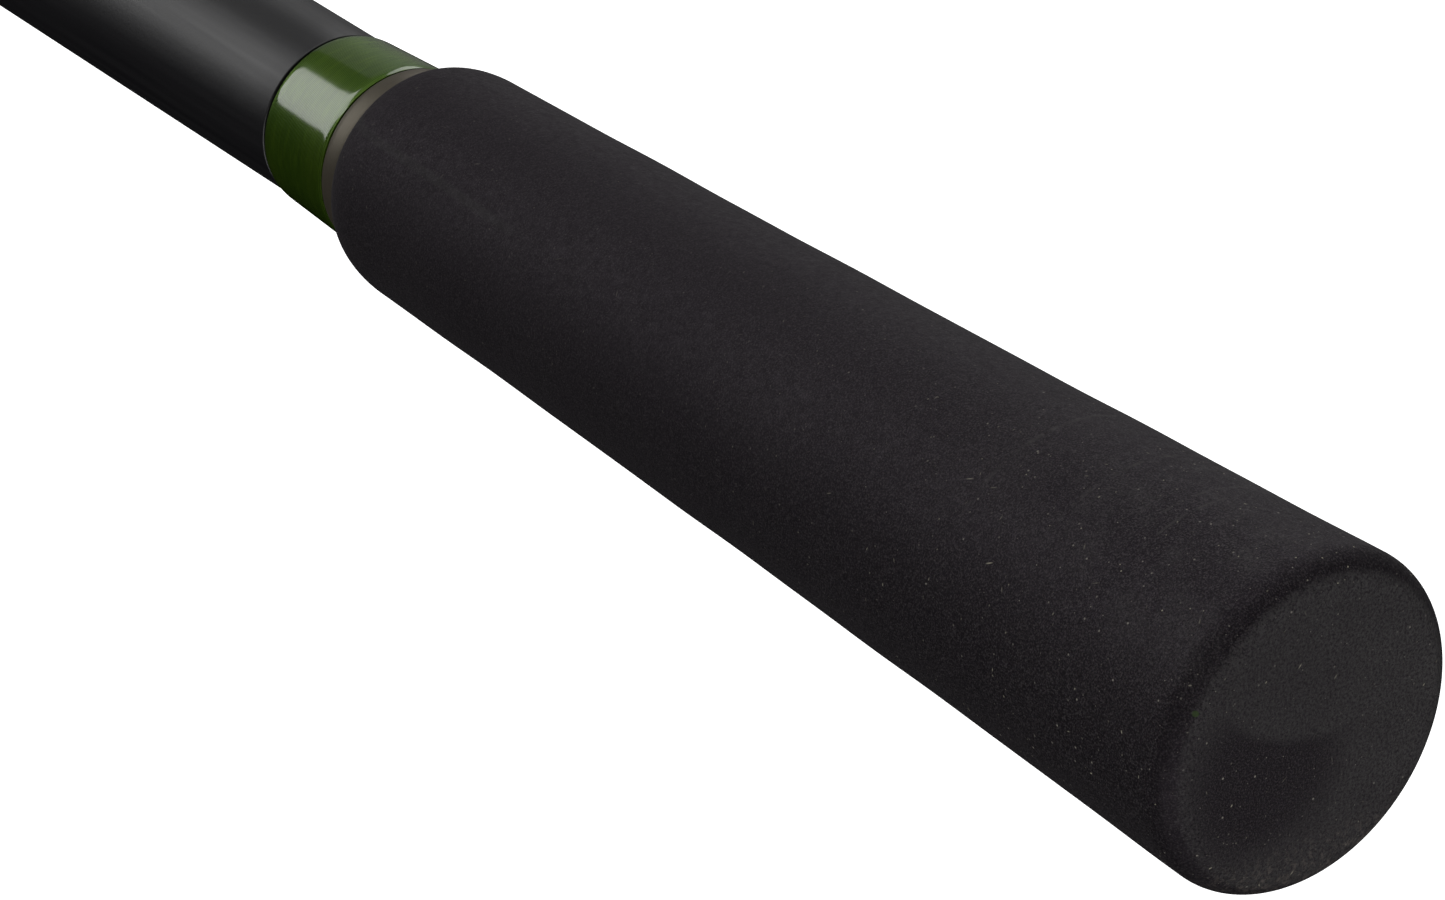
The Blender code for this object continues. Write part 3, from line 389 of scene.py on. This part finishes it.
def make_frame_metal():
    """Steel frame under a dark grey physical coating."""
    metal = Finish("frame_metal_finish")
    polish = metal.noise(1.0, 3.0, 0.6, metal.stretched((700.0, 700.0, 2600.0)))
    cloud = metal.noise(300.0, 2.0, 0.5)
    metal.colour(metal.mix(cloud, shade(0.10, 0.10, 0.108), shade(0.15, 0.15, 0.16)))
    metal.constant(Metallic=1.0)
    metal.roughness(metal.remap(polish, 0.3, 0.7, 0.22, 0.34))
    metal.normal(metal.bump(polish, 0.00002, 0.4))
    return metal.material


def make_bright_metal(name, dark, light, low, high):
    metal = Finish(name)
    turning = metal.noise(1.0, 3.0, 0.6, metal.stretched((4500.0, 200.0, 200.0)))
    metal.colour(metal.mix(turning, shade(*dark), shade(*light)))
    metal.constant(Metallic=1.0)
    metal.roughness(metal.remap(turning, 0.3, 0.7, low, high))
    metal.normal(metal.bump(turning, 0.00002, 0.3))
    return metal.material


def make_ceramic():
    """Polished dark ceramic with a barely mottled surface."""
    ceramic = Finish("ceramic_finish")
    mottle = ceramic.noise(900.0, 3.0, 0.6)
    ceramic.colour(ceramic.mix(mottle, shade(0.012, 0.012, 0.014), shade(0.024, 0.024, 0.027)))
    ceramic.roughness(ceramic.remap(mottle, 0.3, 0.7, 0.06, 0.12))
    ceramic.constant(IOR=2.0)
    return ceramic.material


def make_arbor_finish():
    """Rigid foam arbor, cream coloured and open-grained."""
    arbor = Finish("arbor_finish")
    pores = arbor.cells(1400.0).outputs["Distance"]
    cloud = arbor.noise(200.0, 3.0, 0.6)
    arbor.colour(arbor.mix(cloud, shade(0.36, 0.31, 0.22), shade(0.48, 0.43, 0.32)))
    arbor.constant(Roughness=0.9)
    arbor.normal(arbor.bump(pores, 0.0002, 0.6))
    return arbor.material


FINISHES = {
    "foam": make_foam(),
    "grip_foam": make_grip_foam(),
    "blank": make_blank_finish(),
    "sleeve": make_sleeve_finish(),
    "winding": make_winding(),
    "check": make_check(),
    "seat": make_seat(),
    "arbor": make_arbor_finish(),
    "frame_metal": make_frame_metal(),
    "spring_steel": make_bright_metal("spring_steel_finish", (0.42, 0.42, 0.43), (0.55, 0.55, 0.56),
                                      0.18, 0.3),
    "trim_metal": make_bright_metal("trim_metal_finish", (0.17, 0.17, 0.18), (0.24, 0.24, 0.25), 0.25, 0.38),
    "ceramic": make_ceramic(),
}
SLOT_OF = {row["node"]: row["material_slot"] for row in RECORD["subparts"]}
BODY_OF = {node: body for body, nodes in RECORD["behaviour"]["bodies"].items() for node in nodes}


# ---- Mesh helpers ----------------------------------------------------------

def arc(centre, radius_x, radius_r, first, last, steps):
    """Points of an elliptical arc in the (x, radius) plane, angles in degrees."""
    points = []
    for step in range(steps + 1):
        angle = math.radians(first + (last - first) * step / steps)
        points.append((centre[0] + radius_x * math.cos(angle), centre[1] + radius_r * math.sin(angle)))
    return points


def add_mesh(name, points, faces, finish):
    mesh = bpy.data.meshes.new(name)
    mesh.from_pydata([tuple(p) for p in points], [], faces)
    mesh.validate()
    mesh.shade_smooth()
    mesh.set_sharp_from_angle(angle=math.radians(40.0))
    made = bpy.data.objects.new(name, mesh)
    bpy.context.scene.collection.objects.link(made)
    made.data.materials.append(FINISHES[finish])
    return made


def lathe(name, outline, finish, segments=96, closed=True, centre=(0.0, 0.0), shape=None):
    """Turn an outline of (x, radius) about an axis along X through centre (y, z).

    shape(x, angle) may add to the radius. An open outline has to start and end on the axis.
    """
    points = []
    faces = []
    rows = []
    for x, radius in outline:
        if radius < 1e-9:
            rows.append([len(points)] * segments)
            points.append((x, centre[0], centre[1]))
            continue
        rows.append(list(range(len(points), len(points) + segments)))
        for step in range(segments):
            angle = 2 * math.pi * step / segments
            reach = radius + (shape(x, angle) if shape else 0.0)
            points.append((x, centre[0] + reach * math.cos(angle), centre[1] + reach * math.sin(angle)))
    pairs = list(zip(rows, rows[1:]))
    if closed:
        pairs.append((rows[-1], rows[0]))
    for first, second in pairs:
        for step in range(segments):
            after = (step + 1) % segments
            corners = [first[step], first[after], second[after], second[step]]
            face = [c for k, c in enumerate(corners) if c not in corners[:k]]
            if len(face) > 2:
                faces.append(face)
    return add_mesh(name, points, faces, finish)


def place(piece, *nodes):
    """Let a piece stand for its CAD nodes and ride on their body."""
    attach(piece, BODY_OF[nodes[0]])
    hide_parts(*nodes)
    return piece


def span_of(node):
    """Start, end and largest radius of a piece turned about the rod's axis."""
    low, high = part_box(node)
    return low.x, high.x, max(high.z, high.y)


# ---- Handle ----------------------------------------------------------------

ROD_LENGTH = 2100.0 * MM
GRIP_BUTT_RADIUS = 16.0 * MM
GRIP_TAPER = 0.0377
GRIP_CURVE = 0.0493
GRIP_EDGE = 3.0 * MM
GRIP_SHOULDER = 5.5 * MM
GRIP_NECK = 10.0 * MM
GLUE_LINE = 0.12 * MM


def grip_radius(x):
    return GRIP_BUTT_RADIUS - GRIP_TAPER * x + GRIP_CURVE * x * x


# How far the round of the two front grips wanders.
FOAM_WAVER = 0.02 * MM


def rolling(x, angle, seed, size):
    """Soft hand-made unevenness of a foam surface, a sum of a few slow waves."""
    total = 0.0
    for wave in range(4):
        around = 1 + (wave + seed) % 4
        along = (140.0 + 95.0 * wave + 17.0 * seed)
        total += math.sin(around * angle + along * x + 1.7 * wave + seed) / (wave + 1.5)
    return total * size


def make_butt_grip():
    start, end, _ = span_of("butt_grip")
    edge = grip_radius(GRIP_EDGE)
    flat = edge - GRIP_EDGE
    outline = []
    for step in range(40):
        share = step / 40
        outline.append((start, flat * share))
    outline += arc((GRIP_EDGE, flat), GRIP_EDGE, GRIP_EDGE, 180, 90, 24)
    shoulder = end - GRIP_SHOULDER
    steps = 190
    for step in range(1, steps):
        x = GRIP_EDGE + (shoulder - GRIP_EDGE) * step / steps
        outline.append((x, grip_radius(x)))
    fall = grip_radius(shoulder) - GRIP_NECK
    outline += arc((shoulder, GRIP_NECK), GRIP_SHOULDER + GLUE_LINE, fall, 90, 0, 18)
    outline += [(end + GLUE_LINE, 8.3 * MM), (end - 4 * MM, 8.2 * MM), (end - 4 * MM, 0.0)]

    def shape(x, angle):
        return rolling(x, angle, 2, 0.035 * MM)

    grip = lathe("butt_grip_foam", outline, "grip_foam", 256, closed=False, shape=shape)
    place(grip, "butt_grip")
    return grip


def make_trim_ring(node, crown=0.35 * MM):
    """Slim ring with a domed crown."""
    start, end, radius = span_of(node)
    start -= GLUE_LINE
    bore = radius - 1.4 * MM
    middle = (start + end) / 2
    half = (end - start) / 2
    outline = [(start, bore), (start, radius - crown)]
    outline += arc((middle, radius - crown), half, crown, 180, 0, 12)[1:-1]
    outline += [(end, radius - crown), (end, bore)]
    return place(lathe(node + "_fine", outline, "check", 128), node)


def make_sleeve_piece():
    start, end, radius = span_of("rear_handle_sleeve")
    start += GLUE_LINE
    end += GLUE_LINE
    edge = 0.15 * MM
    outline = [(start, radius - 0.9 * MM), (start, radius - edge)]
    outline += arc((start + edge, radius - edge), edge, edge, 180, 90, 5)[1:]
    steps = 48
    outline += [(start + edge + (end - start - 2 * edge) * step / steps, radius) for step in range(1, steps)]
    outline += arc((end - edge, radius - edge), edge, edge, 90, 0, 5)
    outline.append((end, radius - 0.9 * MM))
    sleeve = lathe("rear_handle_sleeve_fine", outline, "sleeve", 128)
    return place(sleeve, "rear_handle_sleeve")


def make_trim_winding(node, ends):
    """Winding under lacquer: swelling between its ends, with the lacquer drawn down at each."""
    start, end, _ = span_of(node)
    start -= GLUE_LINE
    end -= GLUE_LINE
    bore = min(ends) - 0.7 * MM
    draw = 0.12 * MM
    steps = 36
    outline = [(start, bore), (start, ends[0] - draw)]
    for step in range(1, steps):
        share = step / steps
        lift = draw * (1.0 - (2.0 * share - 1.0) ** 20) - draw
        outline.append((start + (end - start) * share, ends[0] + (ends[1] - ends[0]) * share + lift))
    outline += [(end, ends[1] - draw), (end, bore)]
    return place(lathe(node + "_fine", outline, "winding", 128), node)


def blank_radius(x):
    """Outer radius of the blank at a station."""
    share = (x / ROD_LENGTH) ** 1.4
    return 1.2 * MM + 6.8 * MM * (1.0 - share)


def make_blank_piece(node):
    start, end, _ = span_of(node)
    steps = 60
    stations = [start + (end - start) * step / steps for step in range(steps + 1)]
    outline = [(x, blank_radius(x)) for x in stations]
    outline += [(x, blank_radius(x) - (1.0 - 0.5 * x / ROD_LENGTH) * MM) for x in reversed(stations)]
    return place(lathe(node + "_fine", outline, "blank", 96), node)


def make_rear_seat_grip():
    """Short foam cone that fairs the sleeve into the reel seat."""
    start, end, _ = span_of("rear_seat_grip")
    low = 9.75 * MM
    rise = 1.95 * MM
    outline = [(start - GLUE_LINE, 8.2 * MM), (start - GLUE_LINE, low - 0.4 * MM)]
    steps = 60
    for step in range(1, steps + 1):
        share = step / steps
        ease = share * share * (3.0 - 2.0 * share)
        outline.append((start + (end - start) * share, low + rise * ease))
    outline.append((end, 8.2 * MM))
    grip = lathe("rear_seat_grip_foam", outline, "foam", 160,
                 shape=lambda x, angle: rolling(x, angle, 1, FOAM_WAVER))
    return place(grip, "rear_seat_grip")


def make_foregrip():
    """Foam foregrip, swelling slightly and rounded down to the blank at its front."""
    start, end, _ = span_of("foregrip")
    shoulder = end - 11.0 * MM
    edge = 0.8 * MM
    back = 11.7 * MM
    front = 10.6 * MM
    neck = 8.8 * MM
    outline = [(start, 7.2 * MM), (start, back - edge)]
    outline += arc((start + edge, back - edge), edge, edge, 180, 90, 6)[1:]
    steps = 80
    for step in range(1, steps):
        share = step / steps
        radius = back + (front - back) * share + 0.9 * MM * math.sin(math.pi * share)
        outline.append((start + edge + (shoulder - start - edge) * share, radius))
    outline += arc((shoulder, neck), 11.0 * MM, front - neck, 90, 0, 24)
    outline.append((end, 7.2 * MM))
    grip = lathe("foregrip_foam", outline, "foam", 160,
                 shape=lambda x, angle: rolling(x, angle, 3, FOAM_WAVER))
    return place(grip, "foregrip")


def make_ferrule_pieces():
    start, end, radius = span_of("ferrule_sleeve")
    bore = radius - 1.1 * MM
    edge = 0.3 * MM
    outline = [(start, bore), (start, radius - edge)]
    outline += arc((start + edge, radius - edge), edge, edge, 180, 90, 5)[1:]
    outline += [(end - 6.0 * MM, radius), (end - 3.0 * MM, radius - 0.25 * MM)]
    outline += [(end - 0.4 * MM, radius - 0.7 * MM)]
    outline += [(end, radius - 0.9 * MM), (end, bore)]
    place(lathe("ferrule_sleeve_fine", outline, "blank", 96), "ferrule_sleeve")
    make_plain_winding("ferrule_winding", 0.85 * MM)
    make_plain_winding("tip_top_winding", 0.85 * MM)


def make_plain_winding(node, wall):
    """Winding round a plain tube, its lacquer rounded down at both ends."""
    start, end, radius = span_of(node)
    draw = 0.45 * MM
    run = 1.1 * MM
    outline = [(start, radius - wall), (start, radius - draw)]
    outline += arc((start + run, radius - draw), run, draw, 180, 90, 8)[1:]
    steps = 24
    for step in range(1, steps):
        outline.append((start + run + (end - start - 2 * run) * step / steps, radius))
    outline += arc((end - run, radius - draw), run, draw, 90, 0, 8)
    outline.append((end, radius - wall))
    return place(lathe(node + "_fine", outline, "winding", 96), node)


# ---- Guides and keeper -----------------------------------------------------

def wrap_radius(angle, round_radius, depth, half_width):
    """Radius of thread drawn round a tube and over a foot under it. Angle 0 points down."""
    down = math.cos(angle)
    if down <= 0.0:
        return round_radius
    across = abs(math.sin(angle))
    power = 7.0
    foot = ((across / half_width) ** power + (down / depth) ** power) ** (-1.0 / power)
    blend = 16.0
    return (round_radius ** blend + foot ** blend) ** (1.0 / blend)


def make_foot_winding(node, half_width, heel_depth, toe_depth, heel_first):
    """Thread over a foot. Depths are the foot's thickness at the winding's two ends."""
    low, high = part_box(node)
    start, end = low.x, high.x
    length = end - start
    segments = 72
    steps = 44
    points, faces = [], []
    for step in range(steps + 1):
        share = step / steps
        x = start + length * share
        toe_share = share if heel_first else 1.0 - share
        thickness = heel_depth + (toe_depth - heel_depth) * toe_share
        rim = min(share, 1.0 - share) * length / (1.3 * MM)
        lift = math.sqrt(max(0.0, 1.0 - (1.0 - min(rim, 1.0)) ** 2))
        extra = (0.22 + 0.38 * lift) * MM
        tube = blank_radius(x)
        for turn in range(segments):
            angle = 2 * math.pi * turn / segments
            reach = wrap_radius(angle, tube + extra, tube + 0.3 * MM + thickness + extra, half_width + extra)
            points.append((x, reach * math.sin(angle), -reach * math.cos(angle)))
    for step in range(steps):
        for turn in range(segments):
            after = (turn + 1) % segments
            base = step * segments
            faces.append([base + turn, base + after, base + segments + after, base + segments + turn])
    faces.append(list(range(segments))[::-1])
    faces.append([steps * segments + turn for turn in range(segments)])
    return place(add_mesh(node + "_fine", points, faces, "winding"), node)


def make_guide_ring(node):
    """Polished liner, rounded where the line runs."""
    low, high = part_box(node)
    middle = (low.x + high.x) / 2
    half = (high.x - low.x) / 2
    outer = (high.y - low.y) / 2
    inner = outer * 0.8 - 0.4 * MM
    seat = outer - 0.25 * MM
    outline = [(middle - half + 0.25 * MM, outer), (middle + half - 0.25 * MM, outer)]
    outline += arc((middle, seat), half, seat - inner, 0, -180, 22)
    return place(lathe(node + "_fine", outline, "ceramic", 96, centre=(0.0, (low.z + high.z) / 2)), node)


def swept(path, finish, name):
    """A rounded bar along points, each with a half width and a half thickness."""
    segments = 16
    points, faces = [], []
    spots = [Vector(spot) for spot, _, _ in path]
    for index, (_, half_width, half_thickness) in enumerate(path):
        run = (spots[min(index + 1, len(spots) - 1)] - spots[max(index - 1, 0)]).normalized()
        side = run.cross(Vector((0.0, 0.0, 1.0))).normalized()
        rise = side.cross(run).normalized()
        for turn in range(segments):
            angle = 2 * math.pi * turn / segments
            a = math.copysign(abs(math.cos(angle)) ** 0.6, math.cos(angle)) * half_width
            b = math.copysign(abs(math.sin(angle)) ** 0.6, math.sin(angle)) * half_thickness
            points.append(tuple(spots[index] + side * a + rise * b))
    for index in range(len(path) - 1):
        for turn in range(segments):
            after = (turn + 1) % segments
            base = index * segments
            faces.append([base + turn, base + segments + turn, base + segments + after, base + after])
    faces.append(list(range(segments)))
    faces.append([(len(path) - 1) * segments + turn for turn in range(segments)][::-1])
    return add_mesh(name, points, faces, finish)


def join(name, parts):
    """One mesh from several closed ones."""
    points, faces = [], []
    for part in parts:
        base = len(points)
        points += [tuple(vertex.co) for vertex in part.data.vertices]
        faces += [[base + corner for corner in face.vertices] for face in part.data.polygons]
        finish = part.data.materials[0].name
        bpy.data.objects.remove(part, do_unlink=True)
    return add_mesh(name, points, faces, next(key for key, value in FINISHES.items() if value.name == finish))


def make_guide_frame(name, feet):
    """Collar round the ring, legs bent into tapered feet that lie along the blank."""
    low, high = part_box(name + "_ring")
    station = (low.x + high.x) / 2
    drop = -(low.z + high.z) / 2
    size = (high.y - low.y) / MM
    inner = size / 2 * MM + 0.15 * MM
    outer = size / 2 * MM + 1.1 * MM
    half = 1.0 * MM
    edge = 0.25 * MM
    outline = [(station - half, inner), (station - half, outer - edge), (station - half + edge, outer)]
    outline += [(station + half - edge, outer), (station + half, outer - edge), (station + half, inner)]
    parts = [lathe("collar", outline, "frame_metal", 96, centre=(0.0, -drop))]
    foot_length = (9.0 + 0.3 * size) * MM
    lean = 3.0 * MM + 0.45 * (drop - outer)
    for direction in ((-1, 1) if feet == 2 else (1,)):
        heel = station + direction * lean
        toe = heel + direction * foot_length
        surface = blank_radius(min(heel, toe) - 1.0 * MM) + 0.3 * MM
        foot = []
        for step in range(9):
            share = step / 8
            x = heel - direction * 1.1 * MM + (toe - heel + direction * 1.1 * MM) * share
            thick = (1.0 - 0.5 * share) * MM / 2
            foot.append(((x, 0.0, -surface - thick), (1.5 - 0.6 * share) * MM, thick))
        parts.append(swept(foot, "frame_metal", "foot"))
        two_legs = direction < 0 or feet == 1
        spread = math.radians(42.0) if two_legs else 0.0
        rim = outer - 0.42 * MM
        for side in ((-1, 1) if two_legs else (0,)):
            first = Vector((station, side * rim * math.sin(spread), -drop + rim * math.cos(spread)))
            last = Vector((heel + direction * 0.37 * MM, side * 0.43 * MM, -surface - 0.83 * MM))
            leg = []
            for step in range(7):
                share = step / 6
                half_width, half_depth = (0.7 + 0.3 * share) * MM, (0.34 + 0.16 * share) * MM
                leg.append((tuple(first.lerp(last, share)), half_width, half_depth))
            parts.append(swept(leg, "frame_metal", "leg"))
    return place(join(name + "_frame_fine", parts), name + "_frame")


def make_guides():
    for name, feet in (("stripper_guide", 2), ("guide_2", 2), ("guide_3", 2), ("guide_4", 1), ("guide_5", 1),
                       ("guide_6", 1), ("guide_7", 1)):
        make_guide_frame(name, feet)
        make_guide_ring(name + "_ring")
        if feet == 1:
            make_foot_winding(name + "_winding", 1.4 * MM, 0.95 * MM, 0.45 * MM, True)
        else:
            make_foot_winding(name + "_rear_winding", 1.4 * MM, 0.95 * MM, 0.45 * MM, False)
            make_foot_winding(name + "_front_winding", 1.4 * MM, 0.95 * MM, 0.45 * MM, True)
    make_guide_ring("tip_top_ring")


def make_keeper():
    make_foot_winding("keeper_rear_winding", 0.95 * MM, 0.75 * MM, 0.5 * MM, False)
    make_foot_winding("keeper_front_winding", 0.95 * MM, 0.75 * MM, 0.5 * MM, True)
    low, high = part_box("hook_keeper_ring")
    wire = (high.x - low.x) / 2
    outline = arc(((low.x + high.x) / 2, (high.y - low.y) / 2 - wire), wire, wire, 0, 345, 23)
    ring = lathe("hook_keeper_ring_fine", outline, "spring_steel", 96, centre=(0.0, (low.z + high.z) / 2))
    return place(ring, "hook_keeper_ring")


# ---- Hood, nut and seat ----------------------------------------------------

def make_nut():
    """Ribbed locking nut; its flange and neck turn inside the hood."""
    start, end, _ = span_of("locking_nut")
    body_start = start + 3.4 * MM
    body_end = end - 1.6 * MM
    crown = 14.6 * MM
    fall = 0.6 * MM
    run = 0.8 * MM
    bore = 11.86 * MM
    outline = [(start, bore), (start, 13.5 * MM)]
    outline += [(start + 1.2 * MM, 13.5 * MM), (start + 1.2 * MM, 12.9 * MM)]
    outline += [(body_start, 12.9 * MM), (body_start, crown - fall)]
    outline += arc((body_start + run, crown - fall), run, fall, 180, 90, 6)[1:]
    steps = 12
    for step in range(1, steps):
        outline.append((body_start + run + (body_end - body_start - 2 * run) * step / steps, crown))
    outline += arc((body_end - run, crown - fall), run, fall, 90, 0, 6)
    outline += [(body_end, 12.9 * MM), (end - 0.3 * MM, 12.9 * MM), (end, 12.6 * MM), (end, bore)]

    def ribs(x, angle):
        if not body_start + 0.2 * MM < x < body_end - 0.2 * MM:
            return 0.0
        wave = 0.5 - 0.5 * math.cos(18 * angle)
        return -0.7 * MM * wave ** 0.7

    nut = lathe("locking_nut_fine", outline, "seat", 432, shape=ribs)
    place(nut, "locking_nut")
    make_band("nut_trim_ring", "trim_metal", 0.3 * MM)
    make_band("hood_retaining_ring", "spring_steel", 0.1 * MM)


def make_band(node, finish, edge):
    """Plain ring with eased edges."""
    start, end, radius = span_of(node)
    bore = 13.2 * MM
    outline = [(start, bore), (start, radius - edge)]
    outline += arc((start + edge, radius - edge), edge, edge, 180, 90, 5)[1:]
    outline += arc((end - edge, radius - edge), edge, edge, 90, 0, 5)
    outline.append((end, bore))
    return place(lathe(node + "_fine", outline, finish, 128), node)


make_butt_grip()
for trim in ("butt_check_ring", "mid_check_ring", "seat_check_ring", "foregrip_check_ring"):
    make_trim_ring(trim)
make_sleeve_piece()
make_trim_winding("butt_winding", (9.6 * MM, 9.1 * MM))
make_trim_winding("mid_winding", (9.1 * MM, 9.6 * MM))
make_trim_winding("foregrip_winding", (8.2 * MM, 7.8 * MM))
make_blank_piece("butt_blank")
make_blank_piece("tip_blank")
make_rear_seat_grip()
make_foregrip()
make_ferrule_pieces()
make_guides()
make_keeper()
make_nut()

for name, node in frame["nodes"].items():
    node.data.materials.clear()
    node.data.materials.append(FINISHES[SLOT_OF[name]])


# ---- Fittings that keep the CAD's own mesh ---------------------------------

# Width of each one's rounded edges, and the angle from which an edge is rounded.
EDGE_WIDTHS = {"reel_seat_body": 0.3 * MM, "sliding_hood": 0.3 * MM,
               "tip_top_frame": 0.15 * MM, "hook_keeper_bracket": 0.15 * MM}
EDGE_ANGLE = math.radians(38.0)
WELD_REACH = 0.002 * MM


def round_edges(node, width):
    """Close the CAD mesh's seams, shade it smooth and round its edges."""
    mesh = node.data
    for flat in ("custom_normal", "sharp_edge"):
        if flat in mesh.attributes:
            mesh.attributes.remove(mesh.attributes[flat])
    mesh.shade_smooth()
    node.modifiers.new("closing", "WELD").merge_threshold = WELD_REACH
    rounding = node.modifiers.new("rounding", "BEVEL")
    rounding.width = width
    rounding.segments = 2
    rounding.limit_method = "ANGLE"
    rounding.angle_limit = EDGE_ANGLE
    rounding.harden_normals = True


for name, width in EDGE_WIDTHS.items():
    round_edges(frame["nodes"][name], width)


# ---- Studio ----------------------------------------------------------------

def add_softbox(name, direction, size, radiance):
    """Rectangular area light of a given radiance, aimed at the butt from a direction."""
    light = bpy.data.lights.new(name, "AREA")
    light.shape = "RECTANGLE"
    light.size = size[0]
    light.size_y = size[1]
    light.energy = radiance * math.pi * size[0] * size[1]
    made = bpy.data.objects.new(name, light)
    bpy.context.scene.collection.objects.link(made)
    towards = Vector(direction).normalized()
    made.location = Vector(STUDIO_CENTRE) + towards * STUDIO_REACH
    made.rotation_euler = towards.to_track_quat("Z", "Y").to_euler()
    made.visible_camera = False
    return made


def make_studio():
    scene = bpy.context.scene
    scene.view_settings.view_transform = "Standard"
    world = bpy.data.worlds.new("studio")
    world.use_nodes = True
    backdrop = world.node_tree.nodes["Background"]
    backdrop.inputs["Color"].default_value = (1.0, 1.0, 1.0, 1.0)
    backdrop.inputs["Strength"].default_value = 1.0
    world.cycles_visibility.diffuse = False
    world.cycles_visibility.glossy = False
    scene.world = world
    add_softbox("key_box", (0.76, 0.44, 0.50), (3.0, 3.6), 2.35)
    add_softbox("back_box", (0.45, -0.65, 0.60), (3.0, 3.0), 1.6)
    add_softbox("far_box", (0.72, -0.66, 0.20), (5.0, 5.0), 0.13)
    add_softbox("side_box", (-0.80, -0.55, -0.15), (3.0, 3.0), 1.6)
    add_softbox("top_box", (-0.1, 0.0, 1.0), (4.0, 4.0), 1.75)
    add_softbox("low_box", (-0.60, 0.60, -0.50), (3.0, 3.0), 3.6)

    floor_finish = Finish("floor_finish")
    paper = floor_finish.noise(40.0, 2.0, 0.5)
    floor_finish.colour(floor_finish.mix(paper, shade(0.93, 0.93, 0.93), shade(0.95, 0.95, 0.95)))
    floor_finish.constant(Roughness=0.9, Emission_Color=(1.0, 1.0, 1.0, 1.0), Emission_Strength=0.92)
    level = CAD_BOUNDS[0][2] - FLOOR_DROP
    size = 30.0
    corners = [(-size, -size, level), (size, -size, level), (size, size, level), (-size, size, level)]
    mesh = bpy.data.meshes.new("floor")
    mesh.from_pydata(corners, [], [(0, 1, 2, 3)])
    floor = bpy.data.objects.new("floor", mesh)
    scene.collection.objects.link(floor)
    floor.data.materials.append(floor_finish.material)
    floor.visible_diffuse = False
    floor.visible_glossy = False
    floor.visible_shadow = False


def make_camera():
    data = bpy.data.cameras.new("camera")
    data.lens = CAMERA_LENS
    data.sensor_width = 36.0
    data.clip_start = 0.01
    data.clip_end = 100.0
    made = bpy.data.objects.new("camera", data)
    bpy.context.scene.collection.objects.link(made)
    made.location = CAMERA_PLACE
    made.rotation_euler = (math.radians(CAMERA_PITCH), 0.0, math.radians(CAMERA_HEADING))
    bpy.context.scene.camera = made


make_studio()
make_camera()
